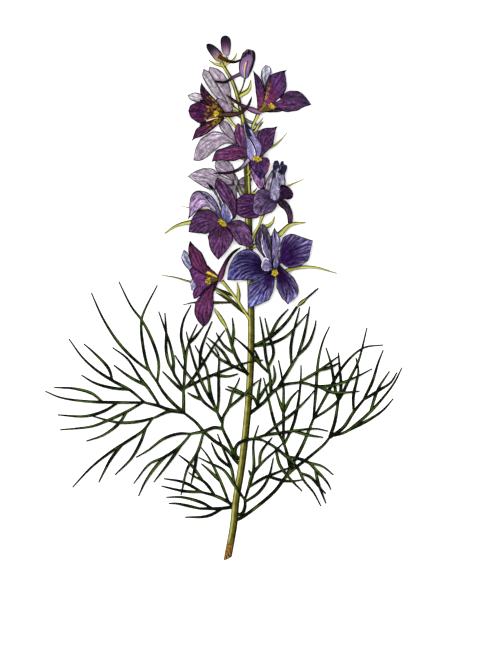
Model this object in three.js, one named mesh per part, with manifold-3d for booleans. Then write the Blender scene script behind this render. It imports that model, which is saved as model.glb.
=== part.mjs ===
// A cut flowering stem of larkspur, lying on its back on a flat surface. Millimetres, +Z up.
// The stem runs along +Y from its cut end to its topmost bud, and z = 0 is the surface it lies on.
// Leaves are threads that fork flat to both sides and sink to the surface at their far tips.
// Each open flower is three pieces: calyx (five sepals and the spur), petals (the hood) and stamens.
import * as THREE from "three";
import { mergeVertices } from "three/addons/utils/BufferGeometryUtils.js";
import Module from "manifold-3d";

const wasm = await Module();
wasm.setup();

// ---- Driving dimensions ----

const GAP = 0.35; // air between pieces that grow out of each other

const STEM_RADII = [1.5, 1.4, 1.4, 1.35, 1.3, 1.1, 0.75, 0.45]; // from the cut end to the tip, evenly spaced
const STEM_SIDES = 8;
const STEM_STEPS = 26;

const STALK_RADII = [0.7, 0.45]; // a leaf's forking stalks, from the stem outwards
const SEGMENT_RADII = [0.42, 0.42, 0.15]; // its last segments, from the fork to the point
const PEDICEL_RADII = [0.6, 0.5, 0.65]; // a flower stalk, thicker under the flower
const PEDICEL_SIDES = 4;
const BRACT_RADII = [0.4, 0.5, 0.15];
const THREAD_SIDES = 3;
const THREAD_STEPS = 0.7; // steps along a thread for each point of its route
const NODE_CHOICES = 40; // places along a thread where a side thread can start

const SEPAL = { thick: 0.6, cup: 0.12 }; // cup raises the edges, as a share of half the width
const PETAL = { thick: 0.5, cup: 0.3 };
const BLADE_STEPS = 4; // along a sepal or petal
const BLADE_BROADEST = 0.58; // where a blade is broadest, as a share of its length
const CLAW_SHARE = 0.24; // width at a blade's foot, as a share of its broadest part
const TIP_SHARE = 0.06; // width left at its point
const SWELL = 1.3; // how slowly a blade widens from its foot
const FALL = 0.75; // how roundly it narrows to its point
const RECEPTACLE_RADIUS = 1.3;
const HOOD_ASIDE = 1.2; // from the middle of the stamens to the foot of the hood
const SPUR_RADII = [0.9, 1.3, 0.9, 0.7, 0.55]; // from the receptacle's front to the spur's end
const SPUR_SIDES = 5;
const TUFT_RADII = [0.5, 0.8, 1.25, 1.2, 0.6]; // the bundle of filaments and its tuft of anthers
const TUFT_SIDES = 6;

const BUD_SHARES = [0.3, 0.75, 1, 1, 0.85, 0.3]; // a bud's width from base to tip, as a share of its widest
const BUD_SIDES = 8;
const BUD_SPUR_RADII = [0.9, 0.6, 0.45];

// ---- Materials ----

const plain = (color, roughness = 0.6) => new THREE.MeshStandardMaterial({ color, roughness, metalness: 0 });
const STALK_GREEN = 0x8b8f3a;
const LEAF_GREEN = 0x2f3f22;
const BRACT_GREEN = 0x9a9c4a;
const HOOD_LAVENDER = 0x9088bd;
const ANTHER_YELLOW = 0xd9b23c;
const BUD_MAUVE = 0x6d4a6e;
const PALE_LILAC = 0xb5aec0;

// ---- Stem ----

// Middle line of the stem. It rests on its lower end and rises under the flowers.
const STEM_ROUTE = [
  [1.5, -105, 1.55],
  [4, -91, 1.6],
  [5, -81, 1.7],
  [7, -69, 1.9],
  [8.5, -57, 2.3],
  [10, -41, 3.2],
  [11, -21, 4.8],
  [11, -4, 6.8],
  [10.5, 15, 10],
  [10, 30, 12.6],
  [9.5, 49, 14.2],
  [9, 59, 14.6],
  [8, 70, 14.6],
  [6, 79, 14.2],
  [3.5, 86.5, 13.6],
  [0, 92.5, 13],
];

// ---- Leaves ----

// Each leaf lies in a sheet of its own: height lists [distance from its base, z], and routes are [x, y].
// stalks are the forking parts that carry others, segments the last thin ones. Each starts on an earlier one.
const LEAVES = {
  large_left: {
    base: [5.5, -66],
    height: [[0, 1.9], [8, 3], [20, 4.9], [40, 6.3], [60, 4], [76, 0.7], [100, 0.6]],
    stalks: [
      [[5.5, -66], [1, -60.5], [-3.5, -57.5], [-8, -53.5], [-11, -50], [-16, -46]],
      [[-16, -46], [-16, -39], [-16, -37]],
      [[-16, -46], [-20.5, -42], [-24, -38], [-26.5, -34]],
      [[-16, -46], [-23, -44.5], [-25.5, -43.5], [-31.5, -42]],
      [[-16, -46], [-21.5, -45.5], [-27.5, -48]],
    ],
    segments: [
      [[-16, -37.5], [-19.5, -34.5], [-24.5, -29.5]],
      [[-16, -37], [-18, -33.5], [-20, -30], [-20, -26], [-21.5, -18.5], [-23, -14], [-26, -5.5]],
      [[-20, -30], [-22, -26], [-23, -21], [-23, -13.5], [-23.5, -6]],
      [[-16, -37.5], [-15.5, -29], [-15, -23], [-14, -18.5], [-10.5, -10.5]],
      [[-14, -18.5], [-11.5, -16], [-8, -11.5]],
      [[-15.5, -26], [-16, -21], [-17, -15], [-16, -9], [-13, -3]],
      [[-15.5, -37], [-12, -32], [-10, -29], [-7, -24.5], [-4, -19.5], [0.5, -13]],
      [[-10, -28.5], [-9, -21], [-7, -15], [-4.5, -9.5]],
      [[-15, -36.5], [-9, -33], [-3, -30.5], [3.5, -28], [9.5, -26], [16, -25]],
      [[-4.5, -31], [2, -31.5], [6, -30.5]],
      [[-26.5, -34], [-30, -28.5], [-32, -21], [-33, -10], [-32, -6], [-26.5, 5]],
      [[-26.5, -34], [-26, -26], [-28.5, -17.5], [-32.5, -9.5], [-37, -3.5], [-42, 6.5]],
      [[-30, -29.5], [-36, -24.5], [-42.5, -17.5], [-48.5, -8], [-53, 2]],
      [[-25.5, -43], [-30, -36.5], [-33.5, -32], [-38.5, -24.5], [-44.5, -20]],
      [[-32, -36], [-38, -31.5], [-44, -27]],
      [[-31.5, -42], [-37.5, -37], [-44, -33.5], [-51, -29], [-56.5, -24], [-62, -16.5]],
      [[-44, -33], [-46, -28.5], [-51.5, -22.5], [-56, -18.5]],
      [[-37.5, -37], [-45.5, -36], [-52, -34], [-57, -31]],
      [[-31.5, -41.5], [-41.5, -42], [-55.5, -41.5], [-65.5, -40], [-71.5, -37.5]],
      [[-48, -41.5], [-52.5, -38.5], [-59.5, -36.5], [-68, -36]],
      [[-42, -42], [-48, -45.5], [-55.5, -47.5], [-66.5, -47]],
      [[-32, -42], [-38.5, -45.5], [-46, -49], [-52.5, -51.5], [-65.5, -53]],
      [[-38, -46], [-42, -50.5], [-48, -55], [-55, -57.5]],
      [[-27.5, -48], [-33.5, -49.5], [-42, -50], [-52.5, -47.5]],
      [[-28, -48.5], [-32, -53], [-38.5, -57.5], [-45.5, -62], [-53, -68], [-60.5, -76]],
      [[-31, -52], [-33.5, -58.5], [-37, -64.5], [-43.5, -71]],
      [[-40.5, -59], [-45, -64.5], [-50, -74]],
    ],
  },
  middle_left: {
    base: [5, -63.5],
    height: [[0, 2.6], [4, 3.9], [12, 5.9], [24, 7.6], [32, 8.4], [60, 8.8]],
    stalks: [
      [[5, -63.5], [2, -57.5], [-0.5, -52], [-0.5, -50]],
      [[-0.5, -50], [-2.5, -46]],
      [[-0.5, -53], [-3.5, -52], [-8, -53.5], [-13, -54.5]],
    ],
    segments: [
      [[-0.5, -50.5], [0, -47.5], [2, -44], [3.5, -38.5], [5.5, -34.5], [6.5, -32]],
      [[2, -44], [8, -39], [13, -34], [14.5, -33]],
      [[-2.5, -46], [-2, -41], [-2, -31], [-2, -23], [-3.5, -20]],
      [[-2.5, -46], [-5, -39], [-7, -28], [-11.5, -19]],
      [[-3, -44.5], [-8, -35.5], [-12, -25], [-15, -13.5]],
      [[-2.5, -46], [-8.5, -41], [-12, -34], [-17, -27], [-19.5, -23]],
      [[-8.5, -41], [-12, -39.5], [-14.5, -38]],
      [[-13, -54.5], [-18, -54.5], [-24, -56.5], [-30, -61], [-35, -64]],
      [[-13, -54.5], [-18, -60], [-24, -64], [-29.5, -66.5], [-36, -74.5]],
      [[-23.5, -63], [-27, -67.5], [-31.5, -74], [-34, -79.5]],
      [[-17, -58], [-21.5, -65.5], [-28, -74]],
      [[-8, -54], [-10.5, -62], [-14.5, -68.5], [-17, -79]],
      [[-10.5, -62], [-11.5, -68], [-13, -74.5]],
    ],
  },
  low_left: {
    base: [5, -84],
    height: [[0, 1.6], [10, 2.2], [20, 1.6], [40, 1]],
    stalks: [
      [[5, -84], [-1.5, -84.5], [-9.5, -84.5]],
      [[4.5, -84], [2, -82], [-3, -79.5], [-8.5, -78]],
    ],
    segments: [
      [[-9.5, -84.5], [-19, -82.5], [-22, -82.5]],
      [[-4, -84.5], [-9, -82], [-16.5, -80], [-23, -80]],
      [[0, -84.5], [-6.5, -87.5], [-15.5, -88]],
      [[-8.5, -78], [-16, -77.5], [-25, -75.5]],
      [[-8.5, -78], [-16, -74], [-24, -72.5]],
      [[-3, -79.5], [-7.5, -74], [-12, -71.5], [-14, -70]],
      [[-8, -73.5], [-13, -67], [-18, -63]],
      [[2, -82], [-1.5, -73], [-6, -64], [-9, -60]],
      [[-2, -74], [-6, -69], [-9, -66.5]],
    ],
  },
  low_right: {
    base: [7.4, -86.5],
    height: [[0, 2.6], [4, 3.2], [8, 3.8], [14, 4.4], [24, 4.9], [32, 4.4], [40, 4]],
    stalks: [[[7.4, -86.5], [8.6, -83.5], [8.5, -81]]],
    segments: [
      [[8.5, -81], [4, -74.5], [0, -69], [-6, -66], [-10, -64]],
      [[4.5, -75], [3, -68], [0, -61], [-2.5, -54.5]],
      [[2.5, -68.5], [-2, -64], [-5, -58]],
      [[8.5, -81], [10, -76], [11.5, -71], [16, -65.5], [20.5, -61.5], [24, -58]],
      [[12, -80], [12, -69], [12, -58], [14, -51]],
      [[14, -67], [15, -62], [19.5, -56]],
      [[12, -72], [10, -69]],
      [[10.5, -76], [15.5, -72.5], [21.5, -70], [28, -67.5]],
      [[18, -72], [25.5, -73.5], [31.5, -73]],
      [[8.5, -82], [14, -78], [18, -72], [20, -64]],
    ],
  },
  large_right: {
    base: [6.5, -88.5],
    height: [[0, 1.6], [20, 2.2], [45, 2.8], [62, 2.2], [80, 0.7], [110, 0.6]],
    stalks: [
      [[6.5, -88.5], [13, -84], [20.5, -77.5], [26, -70.5], [33.5, -64.5], [40, -59], [42.5, -56]],
      [[42.5, -56], [44.5, -50], [46, -41]],
      [[43, -56], [48, -52], [52, -46], [56, -41]],
      [[25.5, -71.5], [28, -66], [31.5, -59.5], [36, -48.5]],
      [[27, -68.5], [25, -61], [24, -58]],
    ],
    segments: [
      [[46, -41], [45, -38], [43, -26.5], [41, -20]],
      [[46, -41], [47, -36], [46.5, -28], [46, -22]],
      [[56, -41], [59.5, -34], [62, -26], [64, -21]],
      [[52, -46], [52, -39.5], [54, -29.5], [53, -24]],
      [[56, -41], [62.5, -37], [67, -34], [69.5, -30]],
      [[43.5, -56], [48.5, -54], [54, -50], [59, -45.5], [64, -40], [68.5, -34], [71.5, -28]],
      [[58.5, -45.5], [62, -36.5], [66.5, -29.5]],
      [[48.5, -54], [59, -48.5], [64, -45], [68, -40.5]],
      [[36, -48.5], [37, -37], [38, -25], [40, -17], [42.5, -11.5]],
      [[36, -48.5], [42, -37.5], [46.5, -29.5], [51.5, -23.5], [56.5, -20], [64, -19]],
      [[36, -48.5], [41.5, -45], [46, -41], [50, -33.5], [54, -25.5], [57.5, -12]],
      [[24, -58], [24, -53], [24, -48], [24, -41], [24, -36], [22, -25]],
      [[24, -46], [21, -37.5]],
      [[24, -46], [26.5, -41], [30, -37]],
      [[24, -58], [20.5, -50.5], [18, -40.5], [16, -32]],
      [[24.5, -59], [28, -50.5], [30, -41.5], [31, -31], [31, -27]],
    ],
  },
  arching_right: {
    base: [5.5, -61],
    height: [[0, 3.4], [3, 5], [8, 6.3], [20, 7], [30, 7.3], [50, 6.8]],
    stalks: [[[5.5, -61], [6.5, -58], [12, -56.5], [15.5, -57]]],
    segments: [
      [[12, -56.5], [17, -55], [24, -54], [30.5, -53], [37, -52.5], [42, -53.5]],
      [[27.5, -53.5], [34, -55], [40, -56]],
      [[16, -55.5], [21.5, -51], [28, -46], [34, -40], [36.5, -37]],
      [[15.5, -57], [20, -59.5], [25, -63.5], [29.5, -68], [32, -73], [36, -78], [39, -83.5]],
      [[20.5, -60], [22.5, -67], [28, -74], [31.5, -77.5]],
      [[25, -63], [32, -65], [34, -66], [39.5, -67.5], [44, -71]],
      [[34, -66], [36.5, -68.5], [41.5, -74], [43, -77]],
      [[31, -70], [35, -72], [38, -75.5], [41, -78.5]],
      [[36.5, -69], [38, -74.5], [41, -82.5]],
    ],
  },
  upright_right: {
    base: [11, -46],
    height: [[0, 3.6], [3, 4.9], [6, 5.9], [12, 7], [20, 8.6], [30, 9], [50, 8.6]],
    stalks: [
      [[11, -46], [16, -42], [19.5, -38], [24, -35], [30, -34]],
      [[19, -38.5], [18.5, -30.5]],
      [[21.5, -36.5], [25.5, -30], [29.5, -23.5]],
    ],
    segments: [
      [[30, -34], [33.5, -34.5], [37, -35.5], [44, -35], [51.5, -32.5], [59.5, -28.5]],
      [[37.5, -35.5], [44, -38], [54.5, -37.5]],
      [[30, -34], [37, -30], [38.5, -29], [46, -23.5]],
      [[38.5, -29], [42.5, -28], [46.5, -26]],
      [[29.5, -23.5], [34, -18.5], [36.5, -12], [37, -9]],
      [[29.5, -23.5], [32, -16], [34.5, -3.5]],
      [[27, -27.5], [27, -19], [30.5, -4]],
      [[18.5, -30.5], [17, -24], [16, -16], [14.5, -7.5]],
      [[18.5, -27.5], [20, -22], [18, -14.5], [16.5, -8]],
      [[18.5, -30.5], [14, -26], [9.5, -20.5], [4.5, -16]],
      [[14.5, -26.5], [12.5, -21]],
      [[19.5, -36], [20.5, -32], [20, -27]],
      [[14, -43.5], [11.5, -39.5], [6.5, -38.5], [0.5, -36.5]],
      [[8.5, -39], [4, -36.5], [1.5, -35.5]],
      [[14, -43.5], [14, -37.5], [15, -32]],
      [[14.5, -41], [16.5, -36.5], [19, -33]],
    ],
  },
  upper_left: {
    base: [9.5, -30.5],
    height: [[0, 5.6], [3, 7.4], [6, 8.6], [12, 10.2], [20, 11.2], [30, 11.6]],
    stalks: [[[9.5, -30.5], [5.5, -24.5], [3.5, -19.5], [2, -14.5], [1, -12]]],
    segments: [
      [[9.5, -30.5], [4, -27.5], [-2, -24], [-7, -18]],
      [[3.5, -27], [-0.5, -21.5], [-6.5, -16]],
      [[3.5, -19.5], [4, -13], [3.5, -8]],
      [[4.5, -22.5], [0, -19], [-3, -14]],
    ],
  },
  upper_right: {
    base: [12, -19.5],
    height: [[0, 5], [5, 6.2], [10, 6.8], [20, 7], [30, 7.2]],
    stalks: [[[12, -19.5], [18.5, -16], [25, -10], [29.5, -3.5]]],
    segments: [
      [[18.5, -16], [22, -9], [26, -4.5]],
      [[12, -19.5], [18.5, -18.5], [25, -15.5], [30, -10.5], [33.5, -6.5]],
    ],
  },
};

// ---- Flowers ----

// at is the receptacle, and all other points of a flower are measured from it.
// A sepal runs from the receptacle through via to tip, wide across, its broad side turned to face.
// petals are the parts of the hood, and stamens is the middle of the tuft of anthers.
const FLOWERS = {
  first: {
    at: [20.5, 10, 20],
    face: [0, -0.1, 1],
    color: 0x4a4480,
    sepals: [
      { via: [-11, 3.4, 0.8], tip: [-19.5, -3, -1], wide: 12.4 },
      { via: [8.5, 8.6, 0.6], tip: [15.5, 12, 0], wide: 12.8 },
      { via: [-6, -6, 0.6], tip: [-11, -14, -1.5], wide: 10 },
      { via: [4.8, -5.5, 0.6], tip: [5.5, -12.5, -1], wide: 9 },
      { via: [-4.7, 12, -2], tip: [-5, 19.5, -1], wide: 6.4 },
    ],
    spur: [[0.5, 3, -4], [1, 8, -7], [0.5, 13, -8.5]],
    petals: [
      { via: [-3.5, 9, 2.5], tip: [-4.5, 16, 3], wide: 3.8 },
      { via: [0, 10, 2.5], tip: [-0.5, 18, 3], wide: 3.8 },
      { via: [-3, 3, 3.2], tip: [-5, 2, 3.4], wide: 3.6 },
    ],
    stamens: [0, -0.2, 3.6],
  },
  second: {
    at: [0, 29.5, 25],
    face: [0, 0, 1],
    color: 0x4c2c52,
    sepals: [
      { via: [2, 9.5, 0], tip: [-2.5, 18.5, -1.5], wide: 8 },
      { via: [-10, 10.5, -2.2], tip: [-14, 2, -3.2], wide: 7 },
      { via: [-8, 1, 0.6], tip: [-14, -3.5, -0.6], wide: 9.6 },
      { via: [-1, -6.5, 0.6], tip: [-2, -14.5, -1], wide: 9.6 },
      { via: [7, -4, 0.4], tip: [12, -9.5, -1], wide: 7.5 },
    ],
    spur: [[-1, -2, -4], [-3, -6, -6.5], [-5, -11, -7.5]],
    petals: [
      { via: [-3, 8, 2.6], tip: [-10, 13, 3], wide: 3.6 },
      { via: [0.5, 7, 2.6], tip: [-7, 16.5, 3], wide: 3.8 },
      { via: [1.5, 3, 3.2], tip: [3, 6, 3.2], wide: 4 },
    ],
    stamens: [-0.5, -0.2, 3.6],
  },
  third: {
    at: [-1.5, 7.5, 14],
    face: [-0.5, 0, 0.85],
    color: 0x6b2c54,
    sepals: [
      { via: [-8.5, 7, 0], tip: [-12, 15, -2], wide: 7 },
      { via: [-8, -1, -1.2], tip: [-10.5, -8, -3], wide: 9 },
      { via: [-6, -10.5, -1.5], tip: [-6.5, -19.5, -4], wide: 8 },
      { via: [-8, 3, -4.5], tip: [-13, 7, -7.5], wide: 7 },
      { via: [-5, -3, -5], tip: [-8, -7, -8.5], wide: 7 },
    ],
    spur: [[2.5, 6.5, 1], [5.5, 10.5, 1], [8.5, 12.5, 0.5]],
    petals: [
      { via: [-10, 5, -3.2], tip: [-15.5, 10.5, -4.5], wide: 3.6 },
      { via: [-8, 0, -3.6], tip: [-12, -4, -5], wide: 3.6 },
    ],
    stamens: [-5, -1, -3.4],
  },
  fourth: {
    at: [21.5, 39, 18],
    face: [0.3, 0.1, 1],
    color: 0x4a3a58,
    sepals: [
      { via: [-9, -1, -1.4], tip: [-16, -3, -1.6], wide: 9.5 },
      { via: [-6, -1.5, 1.6], tip: [-10, -1, 2], wide: 10 },
      { via: [3.5, 1.5, 0.8], tip: [6.8, 1.5, 0.4], wide: 5.2 },
      { via: [4, -4.5, 0.8], tip: [5, -10, 0], wide: 3.4 },
      { via: [-4.5, 5.5, -0.6], tip: [-3, 11, -0.4], wide: 3.6 },
    ],
    spur: [[-2, -1, -4], [-5, 3, -6.5], [-6.5, 8, -7]],
    petals: [
      { via: [-2, 7, 3], tip: [-1, 15.5, 3.4], wide: 5.4 },
      { via: [0.5, 8, 3.2], tip: [3.6, 14, 3.2], wide: 3 },
    ],
    stamens: [2.6, 0.4, 3.8],
  },
  fifth: {
    at: [5, 45.5, 8],
    face: [0, 0, 1],
    color: PALE_LILAC,
    sepals: [
      { via: [-11, 2.5, -3.5], tip: [-19, 3, -7.7], wide: 8.6 },
      { via: [-4, 5, -1], tip: [-8, 9, -3], wide: 6 },
      { via: [5, -5, -3.5], tip: [8, -9, -7.7], wide: 7 },
      { via: [-3, -5, -3.5], tip: [-6, -10, -7.7], wide: 7 },
      { via: [6, 2, -3.5], tip: [10, 3, -7.7], wide: 7 },
    ],
    spur: [[-0.5, 2.5, -3], [-3, 6, -5.5], [-7, 8, -6.5]],
    petals: [
      { via: [-2.5, -2, -4], tip: [-6, -3, -6], wide: 3.6 },
      { via: [2, -2, -4.5], tip: [4, -4, -6.5], wide: 3.6 },
    ],
    stamens: [-1.5, 0.5, -5],
  },
  sixth: {
    at: [14, 55, 26],
    face: [0.1, 0, 1],
    color: 0x5a2a55,
    sepals: [
      { via: [-12, 2.5, -0.6], tip: [-18.5, -1, -2], wide: 6.4 },
      { via: [-7.2, 8, -1.5], tip: [-8, 14, -3], wide: 4.8 },
      { via: [3, 7.2, 0.4], tip: [8, 13, -0.6], wide: 7.5 },
      { via: [1, -3, 1.4], tip: [0.5, -7.5, 1.8], wide: 8, broadest: 0.4 },
      { via: [-1, -7, -2], tip: [1.5, -12, -3], wide: 6 },
    ],
    spur: [[-3.5, 0.2, -2.6], [-6.5, -3, -3], [-10.5, -5, -3], [-18, -5.5, -3.4]],
    petals: [
      { via: [-4.5, 7, 2.4], tip: [-4.5, 15, 2.4], wide: 4.6 },
      { via: [-0.5, 5, 3], tip: [-1.4, 9.5, 3.2], wide: 3 },
    ],
    stamens: [0, 0, 3.6],
  },
  seventh: {
    at: [6, 61.5, 8],
    face: [0, 0, 1],
    color: PALE_LILAC,
    sepals: [
      { via: [-11.5, -1, -3], tip: [-18, -7, -7.7], wide: 9 },
      { via: [-4, 5, -1], tip: [-7, 9, -3], wide: 6.5 },
      { via: [6, -3, -3.5], tip: [10, -6, -7.7], wide: 7 },
      { via: [7, 2, -3.5], tip: [12, 4, -7.7], wide: 7 },
      { via: [1, -5, -3], tip: [2, -9, -6], wide: 6 },
    ],
    spur: [[2, 2, -1.5], [6, 5, -2.5], [10, 9, -3]],
    petals: [
      { via: [-2.5, 2, -4], tip: [-6, 3, -6], wide: 3.6 },
      { via: [2, 2.5, -4.5], tip: [3, 5.5, -6.5], wide: 3.6 },
    ],
    stamens: [0.5, 0.5, -5],
  },
  eighth: {
    at: [0.5, 73, 19],
    face: [-0.25, 0, 1],
    color: 0x3d1a33,
    sepals: [
      { via: [-6, 6, -0.4], tip: [-9.5, 12.5, -2], wide: 4.8 },
      { via: [-9.5, 1, -1.4], tip: [-14.5, 1, -3.2], wide: 8.4, broadest: 0.7 },
      { via: [-7.5, -5.5, -0.4], tip: [-13, -10.5, -2], wide: 5.4 },
      { via: [-6, 3, -4], tip: [-10, 6, -7.5], wide: 6 },
      { via: [-6, -2, -4], tip: [-10, -5, -7.5], wide: 6 },
    ],
    spur: [[5.5, 0.5, 0.6], [9, 3, 0.8], [11, 7.5, 0.6]],
    petals: [{ via: [-5, 0.6, -3.6], tip: [-10, 1.5, -5.2], wide: 4 }],
    stamens: [-3.6, 0.4, -3],
  },
  ninth: {
    at: [14, 74, 18],
    face: [0.2, 0.1, 1],
    color: 0x4d2447,
    sepals: [
      { via: [0, 9, -0.4], tip: [-2, 16.5, -1], wide: 4.2 },
      { via: [6.5, 9.5, -0.6], tip: [11.5, 17, -2], wide: 8.4 },
      { via: [14, 4.8, -1.6], tip: [21, 3, -3], wide: 8.4, broadest: 0.68 },
      { via: [5, 7, -4.5], tip: [9, 13, -7.5], wide: 7 },
      { via: [9, 3.4, -5], tip: [17, 4, -8], wide: 6 },
    ],
    spur: [[-4, 1.5, -0.6], [-8, 3.5, -0.8], [-13, 7, -0.6]],
    petals: [{ via: [3, 9, -3.4], tip: [3.4, 18.5, -4], wide: 4 }],
    stamens: [5.4, 2.4, -2.6],
  },
  tenth: {
    at: [3, 76.5, 8.4],
    face: [0, 0, 1],
    color: PALE_LILAC,
    sepals: [
      { via: [-6.5, 7.5, -2.4], tip: [-11, 15, -5], wide: 6 },
      { via: [-1.5, 8.5, -0.6], tip: [-7.5, 16, -2], wide: 6.5 },
      { via: [-9, 3, -5], tip: [-17.5, 3.5, -8.1], wide: 4.6 },
      { via: [-5, -2, -4], tip: [-10, -4, -8.1], wide: 6 },
      { via: [-7, -5, -4], tip: [-13, -9, -8.1], wide: 5 },
    ],
    spur: [[4.5, -4.5, -1], [11.5, -8, -1.5]],
    petals: [{ via: [-2, 2, 2.2], tip: [-5, 4, 2.6], wide: 5 }],
    stamens: [0, 1, -4.2],
  },
};

// ---- Flower stalks ----

// from is on the stem and to at a receptacle; bracts start on the stem or on the stalk.
const PEDICELS = {
  first: {
    route: [[11, -2, 7.5], [15, 3, 11], [20, 9, 17.5]],
    bracts: [[[11.5, -1.5, 8], [18, 6, 10], [26, 11, 13], [30.5, 12, 14], [36.5, 12, 14], [44, 10, 13]]],
  },
  second: {
    route: [[10.5, 21, 11.5], [7, 25, 16], [0.6, 29, 23]],
    bracts: [
      [[9, 23, 13], [-2, 30, 15.5], [-13.5, 30, 17], [-19, 28.5, 17], [-23.5, 25.5, 16]],
      [[8, 24, 14.5], [0, 33, 16], [-14.5, 36, 17], [-17, 36.5, 17]],
    ],
  },
  third: {
    route: [[10, -8, 7], [4, 1, 9.5], [-0.5, 6.5, 12.8]],
    bracts: [
      [[9, -6.5, 7.5], [3.5, -2, 7.5], [-3, 2, 8]],
      [[3.5, -2, 7.5], [-4, -2, 7], [-12, -2, 6.5], [-16.5, -3, 6]],
      [[4, 0.5, 9.5], [0, 2.5, 10], [-3, 4, 10]],
      [[6, -1.5, 8.8], [6, 2, 10], [5.5, 6, 11]],
      [[8, -5, 7.6], [-4, 4, 5], [-14, 6.5, 4.5], [-19, 8, 4.5], [-25, 9, 4]],
    ],
  },
  fourth: {
    route: [[10.5, 18, 11], [12, 24.5, 12.5], [14, 28.5, 14], [16.5, 34, 16], [20.6, 38.4, 17.4]],
    bracts: [
      [[11, 20, 11.5], [16, 22, 12.5], [22, 25, 14], [26.5, 29, 15], [33, 30, 15]],
      [[14, 28.5, 14], [17.5, 28.5, 14.5], [19.5, 30, 15], [20.5, 32.5, 15.5]],
    ],
  },
  fifth: {
    route: [[9.8, 39.5, 13], [8, 41.4, 11], [5.6, 44.8, 8.6]],
    bracts: [[[9.8, 39.5, 13], [12, 42, 12.5], [13.5, 44, 12]]],
  },
  sixth: {
    route: [[9.7, 45, 14.2], [11, 49, 18], [13.6, 54, 24.2]],
    bracts: [[[10, 45.5, 14.8], [18, 43, 13.4], [25.5, 44.5, 13], [29, 46, 13], [32.5, 47.5, 12.5]]],
  },
  seventh: {
    route: [[9.2, 55, 14], [8, 58, 11.5], [6.4, 60.8, 9.2]],
    bracts: [[[8.8, 56, 13.2], [13, 58.5, 13], [20, 60.5, 13], [23, 63, 13], [25.5, 66, 12.5]]],
  },
  eighth: { route: [[8.4, 64.5, 14.6], [5, 68, 16.6], [1.2, 72.4, 18.6]], bracts: [] },
  ninth: {
    route: [[9, 60, 14.6], [11.5, 68, 15.6], [13.8, 73.2, 17.4]],
    bracts: [[[11, 66, 15.4], [12.5, 66.5, 15.6], [14, 69, 16], [16, 72, 15.6]]],
  },
  tenth: { route: [[7.5, 72.5, 14.4], [6, 74.5, 12], [3.6, 76, 9.4]], bracts: [] },
};

// ---- Buds ----

// A bud's body runs from base to tip; its spur starts on its side. Its stalk runs from the stem to its base.
const BUDS = {
  top: {
    base: [1, 96, 14],
    tip: [0, 104.5, 15],
    wide: 4.4,
    spur: [[1, 98, 13.6], [3.4, 97, 11.4], [7.5, 98.5, 10]],
    stalk: {
      route: [[0.4, 92, 13], [0.9, 94, 13.3], [1, 95.6, 13.9]],
      bracts: [[[0.6, 93, 13.2], [4, 95, 13], [5.5, 98, 13]]],
    },
  },
  left: {
    base: [-1, 93.6, 15.5],
    tip: [-6.6, 101.4, 17],
    wide: 4.4,
    spur: [[-2, 96.4, 17.6], [1.5, 94.6, 18], [4.5, 94, 18], [7, 95, 18]],
    stalk: {
      route: [[0.6, 91.4, 13.4], [0, 92.4, 14.6], [-0.8, 93.3, 15.2]],
      bracts: [[[-0.2, 92.4, 14.8], [-3.5, 93.4, 14.2], [-6, 95, 14]]],
    },
  },
  right: {
    base: [9, 87.4, 15],
    tip: [10, 99.4, 16],
    wide: 6.6,
    spur: [[7.4, 89.6, 15.4], [4, 88, 16.6], [0.5, 86, 16.8], [-3.5, 86.4, 16.6]],
    stalk: {
      route: [[6, 80.5, 14.2], [7.6, 84, 14.6], [8.8, 87, 15]],
      bracts: [[[6.4, 80.4, 14], [10, 83, 13], [11, 87, 12.5]]],
    },
  },
};

// Young green buds at the ends of two leafy side stalks.
const GREEN_BUDS = {
  left: { base: [0.6, -11.2, 11.2], tip: [-3.6, -4.4, 11.4], wide: 1.9 },
  right: { base: [30, -3, 7.2], tip: [38, 3.8, 8], wide: 1.9 },
};

// ---- Geometry helpers ----

const vec = (p) => new THREE.Vector3(...p);
const smooth = (points) => new THREE.CatmullRomCurve3(points.map(vec), false, "centripetal");

// A value between evenly spaced ones, at share t of the way along them.
function between(values, t) {
  const place = t * (values.length - 1);
  const low = Math.min(Math.floor(place), values.length - 2);
  return THREE.MathUtils.lerp(values[low], values[low + 1], place - low);
}

// A closed geometry as a solid, whose vertices meet.
function solid(geometry) {
  geometry.deleteAttribute("normal");
  geometry.deleteAttribute("uv");
  const merged = mergeVertices(geometry, 1e-4);
  return new wasm.Manifold(
    new wasm.Mesh({
      numProp: 3,
      vertProperties: merged.attributes.position.array,
      triVerts: new Uint32Array(merged.index.array),
    }),
  );
}

const joined = (solids) => solids.reduce((whole, next) => whole.add(next));

// The biggest of the bodies that a cut leaves.
function biggest(cut) {
  return cut.decompose().reduce((big, body) => (body.volume() > big.volume() ? body : big));
}

function meshOf(body, name, material) {
  const { numProp, vertProperties, triVerts } = body.getMesh();
  const geometry = new THREE.BufferGeometry();
  const places = new THREE.InterleavedBuffer(vertProperties, numProp);
  geometry.setAttribute("position", new THREE.InterleavedBufferAttribute(places, 3, 0));
  geometry.setIndex(new THREE.BufferAttribute(triVerts, 1));
  geometry.computeVertexNormals();
  const mesh = new THREE.Mesh(geometry, material);
  mesh.name = name;
  return mesh;
}

// A round tube along a curve, whose radius follows radii from start to end.
function tube(curve, radii, sides, steps, extra = 0) {
  const geometry = new THREE.CylinderGeometry(1, 1, 1, sides, steps);
  const frames = curve.computeFrenetFrames(steps);
  const place = geometry.attributes.position;
  const point = new THREE.Vector3();
  for (let i = 0; i < place.count; i++) {
    const t = place.getY(i) + 0.5;
    const step = Math.round(t * steps);
    const radius = between(radii, t) + extra;
    curve.getPointAt(step / steps, point);
    point.addScaledVector(frames.binormals[step], place.getX(i) * radius);
    point.addScaledVector(frames.normals[step], place.getZ(i) * radius);
    place.setXYZ(i, point.x, point.y, point.z);
  }
  return solid(geometry);
}

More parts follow.
